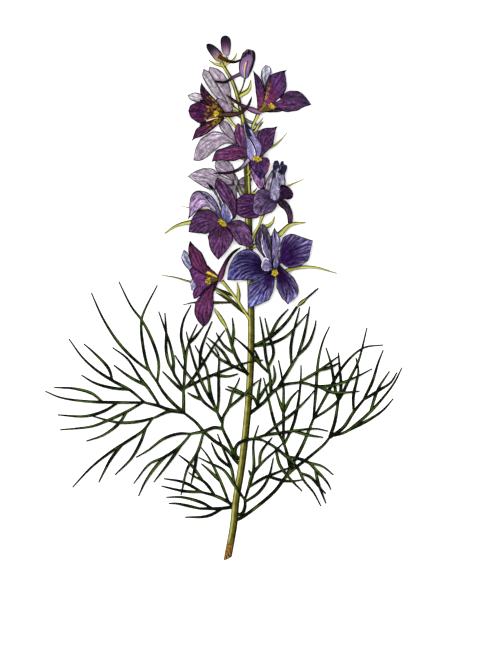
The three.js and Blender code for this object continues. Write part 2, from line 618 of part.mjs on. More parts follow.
// Share of a blade's full width at share t of its length: a narrow claw, a broad part and a point.
function outline(t, broadest) {
  const quarter = Math.PI / 2;
  if (t < broadest) return CLAW_SHARE + (1 - CLAW_SHARE) * Math.sin((quarter * t) / broadest) ** SWELL;
  return TIP_SHARE + (1 - TIP_SHARE) * Math.cos((quarter * (t - broadest)) / (1 - broadest)) ** FALL;
}

// A thin curved blade from start through via to tip, broad side to face, grown by extra all round.
function blade({ via, tip, wide, broadest = BLADE_BROADEST }, start, face, { thick, cup }, extra) {
  const geometry = new THREE.BoxGeometry(1, 1, 1, 2, BLADE_STEPS, 1);
  const curve = smooth([start, via, tip]);
  const place = geometry.attributes.position;
  for (let i = 0; i < place.count; i++) {
    const t = place.getY(i) + 0.5;
    const tangent = curve.getTangentAt(t);
    const side = tangent.clone().cross(vec(face)).normalize();
    const up = side.clone().cross(tangent);
    const half = (wide / 2) * outline(t, broadest);
    const u = place.getX(i) * 2;
    const point = curve.getPointAt(t);
    point.addScaledVector(side, u * (half + extra));
    point.addScaledVector(up, place.getZ(i) * (thick + 2 * extra) + cup * u * u * half);
    place.setXYZ(i, point.x, point.y, point.z);
  }
  return solid(geometry);
}

// ---- Stem ----

const root = new THREE.Group();

const stemCurve = smooth(STEM_ROUTE);
const stemTube = (extra) => tube(stemCurve, STEM_RADII, STEM_SIDES, STEM_STEPS, extra);
const roomRoundStem = stemTube(GAP);
root.add(meshOf(stemTube(0), "stem", plain(STALK_GREEN)));

// ---- Leaves ----

function heightAt(profile, distance) {
  const next = profile.findIndex(([reach]) => reach > distance);
  if (next < 0) return profile.at(-1)[1];
  const [near, low] = profile[next - 1];
  const [far, high] = profile[next];
  return THREE.MathUtils.lerp(low, high, (distance - near) / (far - near));
}

// The point of any earlier curve that is nearest to a place on the plan.
function nearestOn(curves, [x, y]) {
  const samples = curves.flatMap((curve) => curve.getSpacedPoints(NODE_CHOICES));
  const away = (p) => Math.hypot(p.x - x, p.y - y);
  return samples.reduce((best, p) => (away(p) < away(best) ? p : best));
}

function leafSolid({ base, height, stalks, segments }) {
  const lift = ([x, y]) => [x, y, heightAt(height, Math.hypot(x - base[0], y - base[1]))];
  const curves = [];
  const grow = (route, radii) => {
    const points = route.map(lift);
    if (curves.length) points[0] = nearestOn(curves, route[0]).toArray();
    const curve = smooth(points);
    curves.push(curve);
    return tube(curve, radii, THREAD_SIDES, Math.ceil(route.length * THREAD_STEPS));
  };
  const parts = stalks.map((route) => grow(route, STALK_RADII));
  parts.push(...segments.map((route) => grow(route, SEGMENT_RADII)));
  return biggest(joined(parts).subtract(roomRoundStem));
}

for (const [name, leaf] of Object.entries(LEAVES)) {
  root.add(meshOf(leafSolid(leaf), "leaf_" + name, plain(LEAF_GREEN)));
}

// ---- Flowers ----

// Where the stamens leave the receptacle.
const footOf = ({ stamens }) => vec(stamens).setLength(RECEPTACLE_RADIUS + GAP);

// A bundle of filaments from the receptacle to the tuft of anthers at its end.
function stamensSolid(flower) {
  const line = new THREE.LineCurve3(footOf(flower), vec(flower.stamens));
  return tube(line, TUFT_RADII, TUFT_SIDES, TUFT_RADII.length - 1);
}

function calyxSolid({ face, sepals, spur }, extra = 0) {
  const middle = [0, 0, 0];
  const mouth = vec(spur[0]).setLength(-RECEPTACLE_RADIUS).toArray();
  const route = smooth([mouth, middle, ...spur]);
  const parts = [tube(route, SPUR_RADII, SPUR_SIDES, spur.length + 2, extra)];
  for (const sepal of sepals) {
    parts.push(blade(sepal, middle, face, SEPAL, extra));
  }
  return joined(parts);
}

function petalsSolid(flower, extra = 0) {
  const aside = vec(flower.petals[0].via).setLength(HOOD_ASIDE);
  const start = footOf(flower).add(aside).toArray();
  return joined(flower.petals.map((petal) => blade(petal, start, flower.face, PETAL, extra)));
}

for (const [name, flower] of Object.entries(FLOWERS)) {
  const group = new THREE.Group();
  group.position.copy(vec(flower.at));
  group.add(meshOf(calyxSolid(flower), name + "_flower_calyx", plain(flower.color)));
  const roomRoundCalyx = calyxSolid(flower, GAP);
  const petals = biggest(petalsSolid(flower).subtract(roomRoundCalyx));
  group.add(meshOf(petals, name + "_flower_petals", plain(HOOD_LAVENDER)));
  const taken = roomRoundCalyx.add(petalsSolid(flower, GAP));
  const stamens = biggest(stamensSolid(flower).subtract(taken));
  group.add(meshOf(stamens, name + "_flower_stamens", plain(ANTHER_YELLOW)));
  root.add(group);
}

// ---- Flower stalks ----

// A stalk with its bracts, cut clear of the stem.
function stalkSolid({ route, bracts }) {
  const parts = [tube(smooth(route), PEDICEL_RADII, PEDICEL_SIDES, route.length + 1)];
  for (const bract of bracts) {
    parts.push(tube(smooth(bract), BRACT_RADII, THREAD_SIDES, bract.length));
  }
  return joined(parts).subtract(roomRoundStem);
}

for (const [name, pedicel] of Object.entries(PEDICELS)) {
  const flower = FLOWERS[name];
  const roomRoundCalyx = calyxSolid(flower, GAP).translate(flower.at);
  const stalk = biggest(stalkSolid(pedicel).subtract(roomRoundCalyx));
  root.add(meshOf(stalk, name + "_flower_stalk", plain(BRACT_GREEN)));
}

// ---- Buds ----

// A closed egg-shaped body from base to tip.
function budBody({ base, tip, wide }, extra = 0) {
  const axis = new THREE.LineCurve3(vec(base), vec(tip));
  const radii = BUD_SHARES.map((share) => (share * wide) / 2);
  return tube(axis, radii, BUD_SIDES, BUD_SHARES.length - 1, extra);
}

for (const [name, bud] of Object.entries(BUDS)) {
  const spur = tube(smooth(bud.spur), BUD_SPUR_RADII, SPUR_SIDES, bud.spur.length + 1);
  root.add(meshOf(joined([budBody(bud), spur]), "bud_" + name, plain(BUD_MAUVE)));
  const stalk = biggest(stalkSolid(bud.stalk).subtract(budBody(bud, GAP)));
  root.add(meshOf(stalk, "bud_" + name + "_stalk", plain(BRACT_GREEN)));
}

for (const [name, bud] of Object.entries(GREEN_BUDS)) {
  root.add(meshOf(budBody(bud), "green_bud_" + name, plain(BRACT_GREEN)));
}

export default root;
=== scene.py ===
"""A cut flowering stem of larkspur, lying on its back on a pale surface.

Every sepal and petal is a thin two-sided sheet between two edges, leaves and stalks are
threads that follow their routes, and the stamens carry anthers on fine filaments.
Sizes are in millimetres until a mesh is made, and +Y runs along the stem to its tip.
"""
import math
import random

import bmesh
import bpy
import numpy as np
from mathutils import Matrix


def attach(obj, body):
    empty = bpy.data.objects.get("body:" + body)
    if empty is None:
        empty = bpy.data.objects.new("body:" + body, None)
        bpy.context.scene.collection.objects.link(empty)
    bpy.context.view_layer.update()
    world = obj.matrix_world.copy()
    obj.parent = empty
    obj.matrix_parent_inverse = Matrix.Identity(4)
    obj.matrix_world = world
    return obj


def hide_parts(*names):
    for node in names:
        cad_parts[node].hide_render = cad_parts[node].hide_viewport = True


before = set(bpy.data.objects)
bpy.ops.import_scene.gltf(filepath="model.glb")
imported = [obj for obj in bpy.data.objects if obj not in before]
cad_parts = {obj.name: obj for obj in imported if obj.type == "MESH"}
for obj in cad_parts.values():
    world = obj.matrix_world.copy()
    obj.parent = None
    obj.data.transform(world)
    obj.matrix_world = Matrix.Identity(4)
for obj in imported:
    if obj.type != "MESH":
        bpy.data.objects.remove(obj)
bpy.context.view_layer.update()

MM = 0.001

# ---- Sizes and routes of the plant ----

STEM_RADII = [1.5, 1.4, 1.4, 1.35, 1.35, 1.42, 1.08, 0.62]
STEM_ROUTE = [
    (1.5, -105, 1.55), (4, -91, 1.6), (5, -81, 1.7), (7, -69, 1.9), (8.5, -57, 2.3), (10, -41, 3.2),
    (11, -21, 4.8), (11, -4, 6.8), (10.5, 15, 10), (10, 30, 12.6), (9.5, 49, 14.2), (9, 59, 14.6),
    (8, 70, 14.6), (6, 79, 14.2), (3.5, 86.5, 13.6), (0, 92.5, 13),
]

LEAF_STALK_RADII = [0.73, 0.73, 0.55]
LEAF_SEGMENT_RADII = [0.5, 0.6, 0.68, 0.66, 0.58, 0.5, 0.41, 0.29]

# A leaf's height lists (distance from its base, z). Its routes are (x, y) and start on an earlier one.
LEAVES = {
    "large_left": {
        "base": (5.5, -66),
        "height": [(0, 1.9), (8, 3), (20, 4.9), (40, 6.3), (60, 4), (76, 0.7), (100, 0.6)],
        "stalks": [
            [(5.5, -66), (1, -60.5), (-3.5, -57.5), (-8, -53.5), (-11, -50), (-16, -46)],
            [(-16, -46), (-16, -39), (-16, -37)],
            [(-16, -46), (-20.5, -42), (-24, -38), (-26.5, -34)],
            [(-16, -46), (-23, -44.5), (-25.5, -43.5), (-31.5, -42)],
            [(-16, -46), (-21.5, -45.5), (-27.5, -48)],
        ],
        "segments": [
            [(-16, -37.5), (-19.5, -34.5), (-24.5, -29.5)],
            [(-16, -37), (-18, -33.5), (-20, -30), (-20, -26), (-21.5, -18.5), (-23, -14), (-26, -5.5)],
            [(-20, -30), (-22, -26), (-23, -21), (-23, -13.5), (-23.5, -6)],
            [(-16, -37.5), (-15.5, -29), (-15, -23), (-14, -18.5), (-10.5, -10.5)],
            [(-14, -18.5), (-11.5, -16), (-8, -11.5)],
            [(-15.5, -26), (-16, -21), (-17, -15), (-16, -9), (-13, -3)],
            [(-15.5, -37), (-12, -32), (-10, -29), (-7, -24.5), (-4, -19.5), (0.5, -13)],
            [(-10, -28.5), (-9, -21), (-7, -15), (-4.5, -9.5)],
            [(-15, -36.5), (-9, -33), (-3, -30.5), (3.5, -28), (9.5, -26), (16, -25)],
            [(-4.5, -31), (2, -31.5), (6, -30.5)],
            [(-26.5, -34), (-30, -28.5), (-32, -21), (-33, -10), (-32, -6), (-26.5, 5)],
            [(-26.5, -34), (-26, -26), (-28.5, -17.5), (-32.5, -9.5), (-37, -3.5), (-42, 6.5)],
            [(-30, -29.5), (-36, -24.5), (-42.5, -17.5), (-48.5, -8), (-53, 2)],
            [(-25.5, -43), (-30, -36.5), (-33.5, -32), (-38.5, -24.5), (-44.5, -20)],
            [(-32, -36), (-38, -31.5), (-44, -27)],
            [(-31.5, -42), (-37.5, -37), (-44, -33.5), (-51, -29), (-56.5, -24), (-62, -16.5)],
            [(-44, -33), (-46, -28.5), (-51.5, -22.5), (-56, -18.5)],
            [(-37.5, -37), (-45.5, -36), (-52, -34), (-57, -31)],
            [(-31.5, -41.5), (-41.5, -42), (-55.5, -41.5), (-65.5, -40), (-71.5, -37.5)],
            [(-48, -41.5), (-52.5, -38.5), (-59.5, -36.5), (-68, -36)],
            [(-42, -42), (-48, -45.5), (-55.5, -47.5), (-66.5, -47)],
            [(-32, -42), (-38.5, -45.5), (-46, -49), (-52.5, -51.5), (-65.5, -53)],
            [(-38, -46), (-42, -50.5), (-48, -55), (-55, -57.5)],
            [(-27.5, -48), (-33.5, -49.5), (-42, -50), (-52.5, -47.5)],
            [(-28, -48.5), (-32, -53), (-38.5, -57.5), (-45.5, -62), (-53, -68), (-60.5, -76)],
            [(-31, -52), (-33.5, -58.5), (-37, -64.5), (-43.5, -71)],
            [(-40.5, -59), (-45, -64.5), (-50, -74)],
        ],
    },
    "middle_left": {
        "base": (5, -63.5),
        "height": [(0, 2.6), (4, 3.9), (12, 5.9), (24, 7.6), (32, 8.4), (60, 8.8)],
        "stalks": [
            [(5, -63.5), (2, -57.5), (-0.5, -52), (-0.5, -50)],
            [(-0.5, -50), (-2.5, -46)],
            [(-0.5, -53), (-3.5, -52), (-8, -53.5), (-13, -54.5)],
        ],
        "segments": [
            [(-0.5, -50.5), (0, -47.5), (2, -44), (3.5, -38.5), (5.5, -34.5), (6.5, -32)],
            [(2, -44), (8, -39), (13, -34), (14.5, -33)],
            [(-2.5, -46), (-2, -41), (-2, -31), (-2, -23), (-3.5, -20)],
            [(-2.5, -46), (-5, -39), (-7, -28), (-11.5, -19)],
            [(-3, -44.5), (-8, -35.5), (-12, -25), (-15, -13.5)],
            [(-2.5, -46), (-8.5, -41), (-12, -34), (-17, -27), (-19.5, -23)],
            [(-8.5, -41), (-12, -39.5), (-14.5, -38)],
            [(-13, -54.5), (-18, -54.5), (-24, -56.5), (-30, -61), (-35, -64)],
            [(-13, -54.5), (-18, -60), (-24, -64), (-29.5, -66.5), (-36, -74.5)],
            [(-23.5, -63), (-27, -67.5), (-31.5, -74), (-34, -79.5)],
            [(-17, -58), (-21.5, -65.5), (-28, -74)],
            [(-8, -54), (-10.5, -62), (-14.5, -68.5), (-17, -79)],
            [(-10.5, -62), (-11.5, -68), (-13, -74.5)],
        ],
    },
    "low_left": {
        "base": (5, -84),
        "height": [(0, 1.6), (10, 2.2), (20, 1.6), (40, 1)],
        "stalks": [
            [(5, -84), (-1.5, -84.5), (-9.5, -84.5)],
            [(4.5, -84), (2, -82), (-3, -79.5), (-8.5, -78)],
        ],
        "segments": [
            [(-9.5, -84.5), (-19, -82.5), (-22, -82.5)],
            [(-4, -84.5), (-9, -82), (-16.5, -80), (-23, -80)],
            [(0, -84.5), (-6.5, -87.5), (-15.5, -88)],
            [(-8.5, -78), (-16, -77.5), (-25, -75.5)],
            [(-8.5, -78), (-16, -74), (-24, -72.5)],
            [(-3, -79.5), (-7.5, -74), (-12, -71.5), (-14, -70)],
            [(-8, -73.5), (-13, -67), (-18, -63)],
            [(2, -82), (-1.5, -73), (-6, -64), (-9, -60)],
            [(-2, -74), (-6, -69), (-9, -66.5)],
        ],
    },
    "low_right": {
        "base": (7.4, -86.5),
        "height": [(0, 2.6), (4, 3.2), (8, 3.8), (14, 4.4), (24, 4.9), (32, 4.4), (40, 4)],
        "stalks": [[(7.4, -86.5), (8.6, -83.5), (8.5, -81)]],
        "segments": [
            [(8.5, -81), (4, -74.5), (0, -69), (-6, -66), (-10, -64)],
            [(4.5, -75), (3, -68), (0, -61), (-2.5, -54.5)],
            [(2.5, -68.5), (-2, -64), (-5, -58)],
            [(8.5, -81), (10, -76), (11.5, -71), (16, -65.5), (20.5, -61.5), (24, -58)],
            [(12, -80), (12, -69), (12, -58), (14, -51)],
            [(14, -67), (15, -62), (19.5, -56)],
            [(12, -72), (10, -69)],
            [(10.5, -76), (15.5, -72.5), (21.5, -70), (28, -67.5)],
            [(18, -72), (25.5, -73.5), (31.5, -73)],
            [(8.5, -82), (14, -78), (18, -72), (20, -64)],
        ],
    },
    "large_right": {
        "base": (6.5, -88.5),
        "height": [(0, 1.6), (20, 2.2), (45, 2.8), (62, 2.2), (80, 0.7), (110, 0.6)],
        "stalks": [
            [(6.5, -88.5), (13, -84), (20.5, -77.5), (26, -70.5), (33.5, -64.5), (40, -59), (42.5, -56)],
            [(42.5, -56), (44.5, -50), (46, -41)],
            [(43, -56), (48, -52), (52, -46), (56, -41)],
            [(25.5, -71.5), (28, -66), (31.5, -59.5), (36, -48.5)],
            [(27, -68.5), (25, -61), (24, -58)],
        ],
        "segments": [
            [(46, -41), (45, -38), (43, -26.5), (41, -20)],
            [(46, -41), (47, -36), (46.5, -28), (46, -22)],
            [(56, -41), (59.5, -34), (62, -26), (64, -21)],
            [(52, -46), (52, -39.5), (54, -29.5), (53, -24)],
            [(56, -41), (62.5, -37), (67, -34), (69.5, -30)],
            [(43.5, -56), (48.5, -54), (54, -50), (59, -45.5), (64, -40), (68.5, -34), (71.5, -28)],
            [(58.5, -45.5), (62, -36.5), (66.5, -29.5)],
            [(48.5, -54), (59, -48.5), (64, -45), (68, -40.5)],
            [(36, -48.5), (37, -37), (38, -25), (40, -17), (42.5, -11.5)],
            [(36, -48.5), (42, -37.5), (46.5, -29.5), (51.5, -23.5), (56.5, -20), (64, -19)],
            [(36, -48.5), (41.5, -45), (46, -41), (50, -33.5), (54, -25.5), (57.5, -12)],
            [(24, -58), (24, -53), (24, -48), (24, -41), (24, -36), (22, -25)],
            [(24, -46), (21, -37.5)],
            [(24, -46), (26.5, -41), (30, -37)],
            [(24, -58), (20.5, -50.5), (18, -40.5), (16, -32)],
            [(24.5, -59), (28, -50.5), (30, -41.5), (31, -31), (31, -27)],
        ],
    },
    "arching_right": {
        "base": (5, -63.5),
        "height": [(0, 2.6), (3, 4), (6, 5.4), (10, 6.3), (20, 7), (30, 7.3), (50, 6.8)],
        "stalks": [[(5, -63.5), (4.7, -60.5), (6.1, -58.3), (8.2, -57.3), (12, -56.5), (15.5, -57)]],
        "segments": [
            [(12, -56.5), (17, -55), (24, -54), (30.5, -53), (37, -52.5), (42, -53.5)],
            [(27.5, -53.5), (34, -55), (40, -56)],
            [(16, -55.5), (21.5, -51), (28, -46), (34, -40), (36.5, -37)],
            [(15.5, -57), (20, -59.5), (25, -63.5), (29.5, -68), (32, -73), (36, -78), (39, -83.5)],
            [(20.5, -60), (22.5, -67), (28, -74), (31.5, -77.5)],
            [(25, -63), (32, -65), (34, -66), (39.5, -67.5), (44, -71)],
            [(34, -66), (36.5, -68.5), (41.5, -74), (43, -77)],
            [(31, -70), (35, -72), (38, -75.5), (41, -78.5)],
            [(36.5, -69), (38, -74.5), (41, -82.5)],
        ],
    },
    "upright_right": {
        "base": (11, -46),
        "height": [(0, 3.6), (3, 4.9), (6, 5.9), (12, 7), (20, 8.6), (30, 9), (50, 8.6)],
        "stalks": [
            [(11, -46), (16, -42), (19.5, -38), (24, -35), (30, -34)],
            [(19, -38.5), (18.5, -30.5)],
            [(21.5, -36.5), (25.5, -30), (29.5, -23.5)],
        ],
        "segments": [
            [(30, -34), (33.5, -34.5), (37, -35.5), (44, -35), (51.5, -32.5), (59.5, -28.5)],
            [(37.5, -35.5), (44, -38), (54.5, -37.5)],
            [(30, -34), (37, -30), (38.5, -29), (46, -23.5)],
            [(38.5, -29), (42.5, -28), (46.5, -26)],
            [(29.5, -23.5), (34, -18.5), (36.5, -12), (37, -9)],
            [(29.5, -23.5), (32, -16), (34.5, -3.5)],
            [(27, -27.5), (27, -19), (30.5, -4)],
            [(18.5, -30.5), (17, -24), (16, -16), (14.5, -7.5)],
            [(18.5, -27.5), (20, -22), (18, -14.5), (16.5, -8)],
            [(18.5, -30.5), (14, -26), (9.5, -20.5), (4.5, -16)],
            [(14.5, -26.5), (12.5, -21)],
            [(19.5, -36), (20.5, -32), (20, -27)],
            [(14, -43.5), (11.5, -39.5), (6.5, -38.5), (0.5, -36.5)],
            [(8.5, -39), (4, -36.5), (1.5, -35.5)],
            [(14, -43.5), (14, -37.5), (15, -32)],
            [(14.5, -41), (16.5, -36.5), (19, -33)],
        ],
    },
    "upper_left": {
        "base": (9.5, -30.5),
        "height": [(0, 5.6), (3, 7.4), (6, 8.6), (12, 10.2), (20, 11.2), (30, 11.6)],
        "stalks": [[(9.5, -30.5), (5.5, -24.5), (3.5, -19.5), (2, -14.5), (1, -12)]],
        "segments": [
            [(9.5, -30.5), (4, -27.5), (-2, -24), (-7, -18)],
            [(3.5, -27), (-0.5, -21.5), (-6.5, -16)],
            [(3.5, -19.5), (4, -13), (3.5, -8)],
            [(4.5, -22.5), (0, -19), (-3, -14)],
        ],
    },
    "upper_right": {
        "base": (12, -19.5),
        "height": [(0, 5), (5, 6.2), (10, 6.8), (20, 7), (30, 7.2)],
        "stalks": [[(12, -19.5), (18.5, -16), (25, -10), (29.5, -3.5)]],
        "segments": [
            [(18.5, -16), (22, -9), (26, -4.5)],
            [(12, -19.5), (18.5, -18.5), (25, -15.5), (30, -10.5), (33.5, -6.5)],
        ],
    },
}

# A flower stalk runs from the stem to a receptacle; its bracts start on the stem or on the stalk.
# shade is how dark a stalk is, and wide and shades are how broad and how dark each of its bracts is.
FLOWER_STALKS = {
    "first": {
        "route": [(11, -2, 7.5), (15, 3, 11), (20, 9, 17.5)],
        "bracts": [[(11.5, -1.5, 8), (18, 6, 10), (26, 11, 13), (30.5, 12, 14), (36.5, 12, 14),
                    (45.4, 9.6, 13)]],
        "wide": (1.5,),
    },
    "second": {
        "route": [(10.5, 21, 11.5), (7, 25, 16), (0.6, 29, 23)],
        "bracts": [
            [(9, 23, 13), (-2, 30, 15.5), (-13.5, 30, 17), (-19, 28.5, 17), (-23.5, 25.5, 16)],
            [(8, 24, 14.5), (0, 33, 16), (-14.5, 36, 17), (-17, 36.5, 17)],
        ],
        "wide": (2.2, 0.9),
    },
    "third": {
        "route": [(10, -8, 7), (4, 1, 9.5), (-0.5, 6.5, 12.8)],
        "bracts": [
            [(9, -6.5, 7.5), (3.5, -2, 7.5), (-3, 2, 8)],
            [(3.5, -2, 7.5), (-4, -2, 7), (-12, -2, 6.5), (-16.5, -3, 6)],
            [(4, 0.5, 9.5), (0, 2.5, 10), (-3, 4, 10)],
            [(6, -1.5, 8.8), (6, 2, 10), (5.5, 6, 11)],
            [(8, -5, 7.6), (-4, 4, 5), (-14, 6.5, 4.5), (-19, 8, 4.5), (-25, 9, 4)],
        ],
        "wide": (1.3, 1, 1, 1.4, 1.1),
        "shades": (0.94, 0.94, 0.96, 0.2, 0.5),
    },
    "fourth": {
        "route": [(10.5, 18, 11), (12, 24.5, 12.5), (14, 28.5, 14), (16.5, 34, 16), (20.6, 38.4, 17.4)],
        "bracts": [
            [(11, 20, 11.5), (16, 22, 12.5), (22, 25, 14), (26.5, 29, 15), (33, 30, 15)],
            [(14, 28.5, 14), (17.5, 28.5, 14.5), (19.5, 30, 15), (20.5, 32.5, 15.5)],
        ],
        "wide": (2.1, 1.4),
    },
    "fifth": {
        "route": [(9.8, 39.5, 13), (8, 41.4, 11), (5.6, 44.8, 8.6)],
        "bracts": [[(9.8, 39.5, 13), (12, 42, 12.5), (13.5, 44, 12)]],
        "slim": 0.6,
        "shade": 0.5,
        "shades": (0.6,),
    },
    "sixth": {
        "route": [(9.6, 48.2, 14.3), (10.8, 50.6, 18), (13.6, 54, 24.2)],
        "bracts": [[(10.3, 41.5, 13.4), (18, 41.6, 13.2), (25.5, 44.5, 13), (29, 46, 13),
                    (32.5, 47.5, 12.5)]],
    },
    "seventh": {
        "route": [(9.2, 55, 14), (8, 58, 11.5), (6.4, 60.8, 9.2)],
        "bracts": [[(8.8, 56, 13.2), (13, 58.5, 13), (20, 60.5, 13), (23, 63, 13), (25.5, 66, 12.5)]],
    },
    "eighth": {"route": [(8.4, 64.5, 14.6), (5, 68, 16.6), (1.2, 72.4, 18.6)], "bracts": []},
    "ninth": {
        "route": [(9, 60, 14.6), (11.5, 68, 15.6), (13.8, 73.2, 17.4)],
        "bracts": [[(11, 66, 15.4), (12.5, 66.5, 15.6), (14, 69, 16), (16, 72, 15.6)]],
    },
    "tenth": {"route": [(7.5, 72.5, 14.4), (6, 74.5, 12), (3.6, 76, 9.4)], "bracts": []},
}

# ---- Paints that are laid on in marks ----

INKS = {
    "navy": "1a1240",
    "black": "0c060e",
    "slate": "25223a",
    # white and silver are painted highlights on the edges of petals and sepals
    "white": "f6f2ff",
    "silver_highlight": "c4bee0",
    "cream": "e6d2b4",
    "pollen": "f0cf3c",
    "gold": "9e7826",
    "lime": "b2ae34",
    "olive": "5e4e18",
    "brown": "3a2008",
    "rose": "7c3c66",
}

# ---- Paints that several sheets share: the heart, the blade, the tip and the strokes ----

HIDDEN_HOOD = ("a9a2c4", "9790ba", "b3b0d4", "d0cce4")
BACK_MAGENTA = ("471f49", "66385f", "3c1c38", "9a6494")
BACK_LILAC = ("b8a6ba", "bba9bd", "cac1cc", "8a7a8c")
BACK_LILAC_DEEP = ("ac9bae", "b6a3b8", "bdaebf", "7e6c82")
BACK_MAUVE = ("bcaabc", "c3b2c5", "bdadbf", "857488")
BACK_MAUVE_DEEP = ("ac9bae", "bfaec2", "ac9bb0", "72607a")
BACK_MAROON = ("7a6232", "46203a", "2c1728", "6a3f58")
BACK_VIOLET = ("604050", "4f2e4c", "3f2f4e", "7d5878")
BACK_ASH = ("c0aebc", "bcaaba", "b8aab8", "806e80")
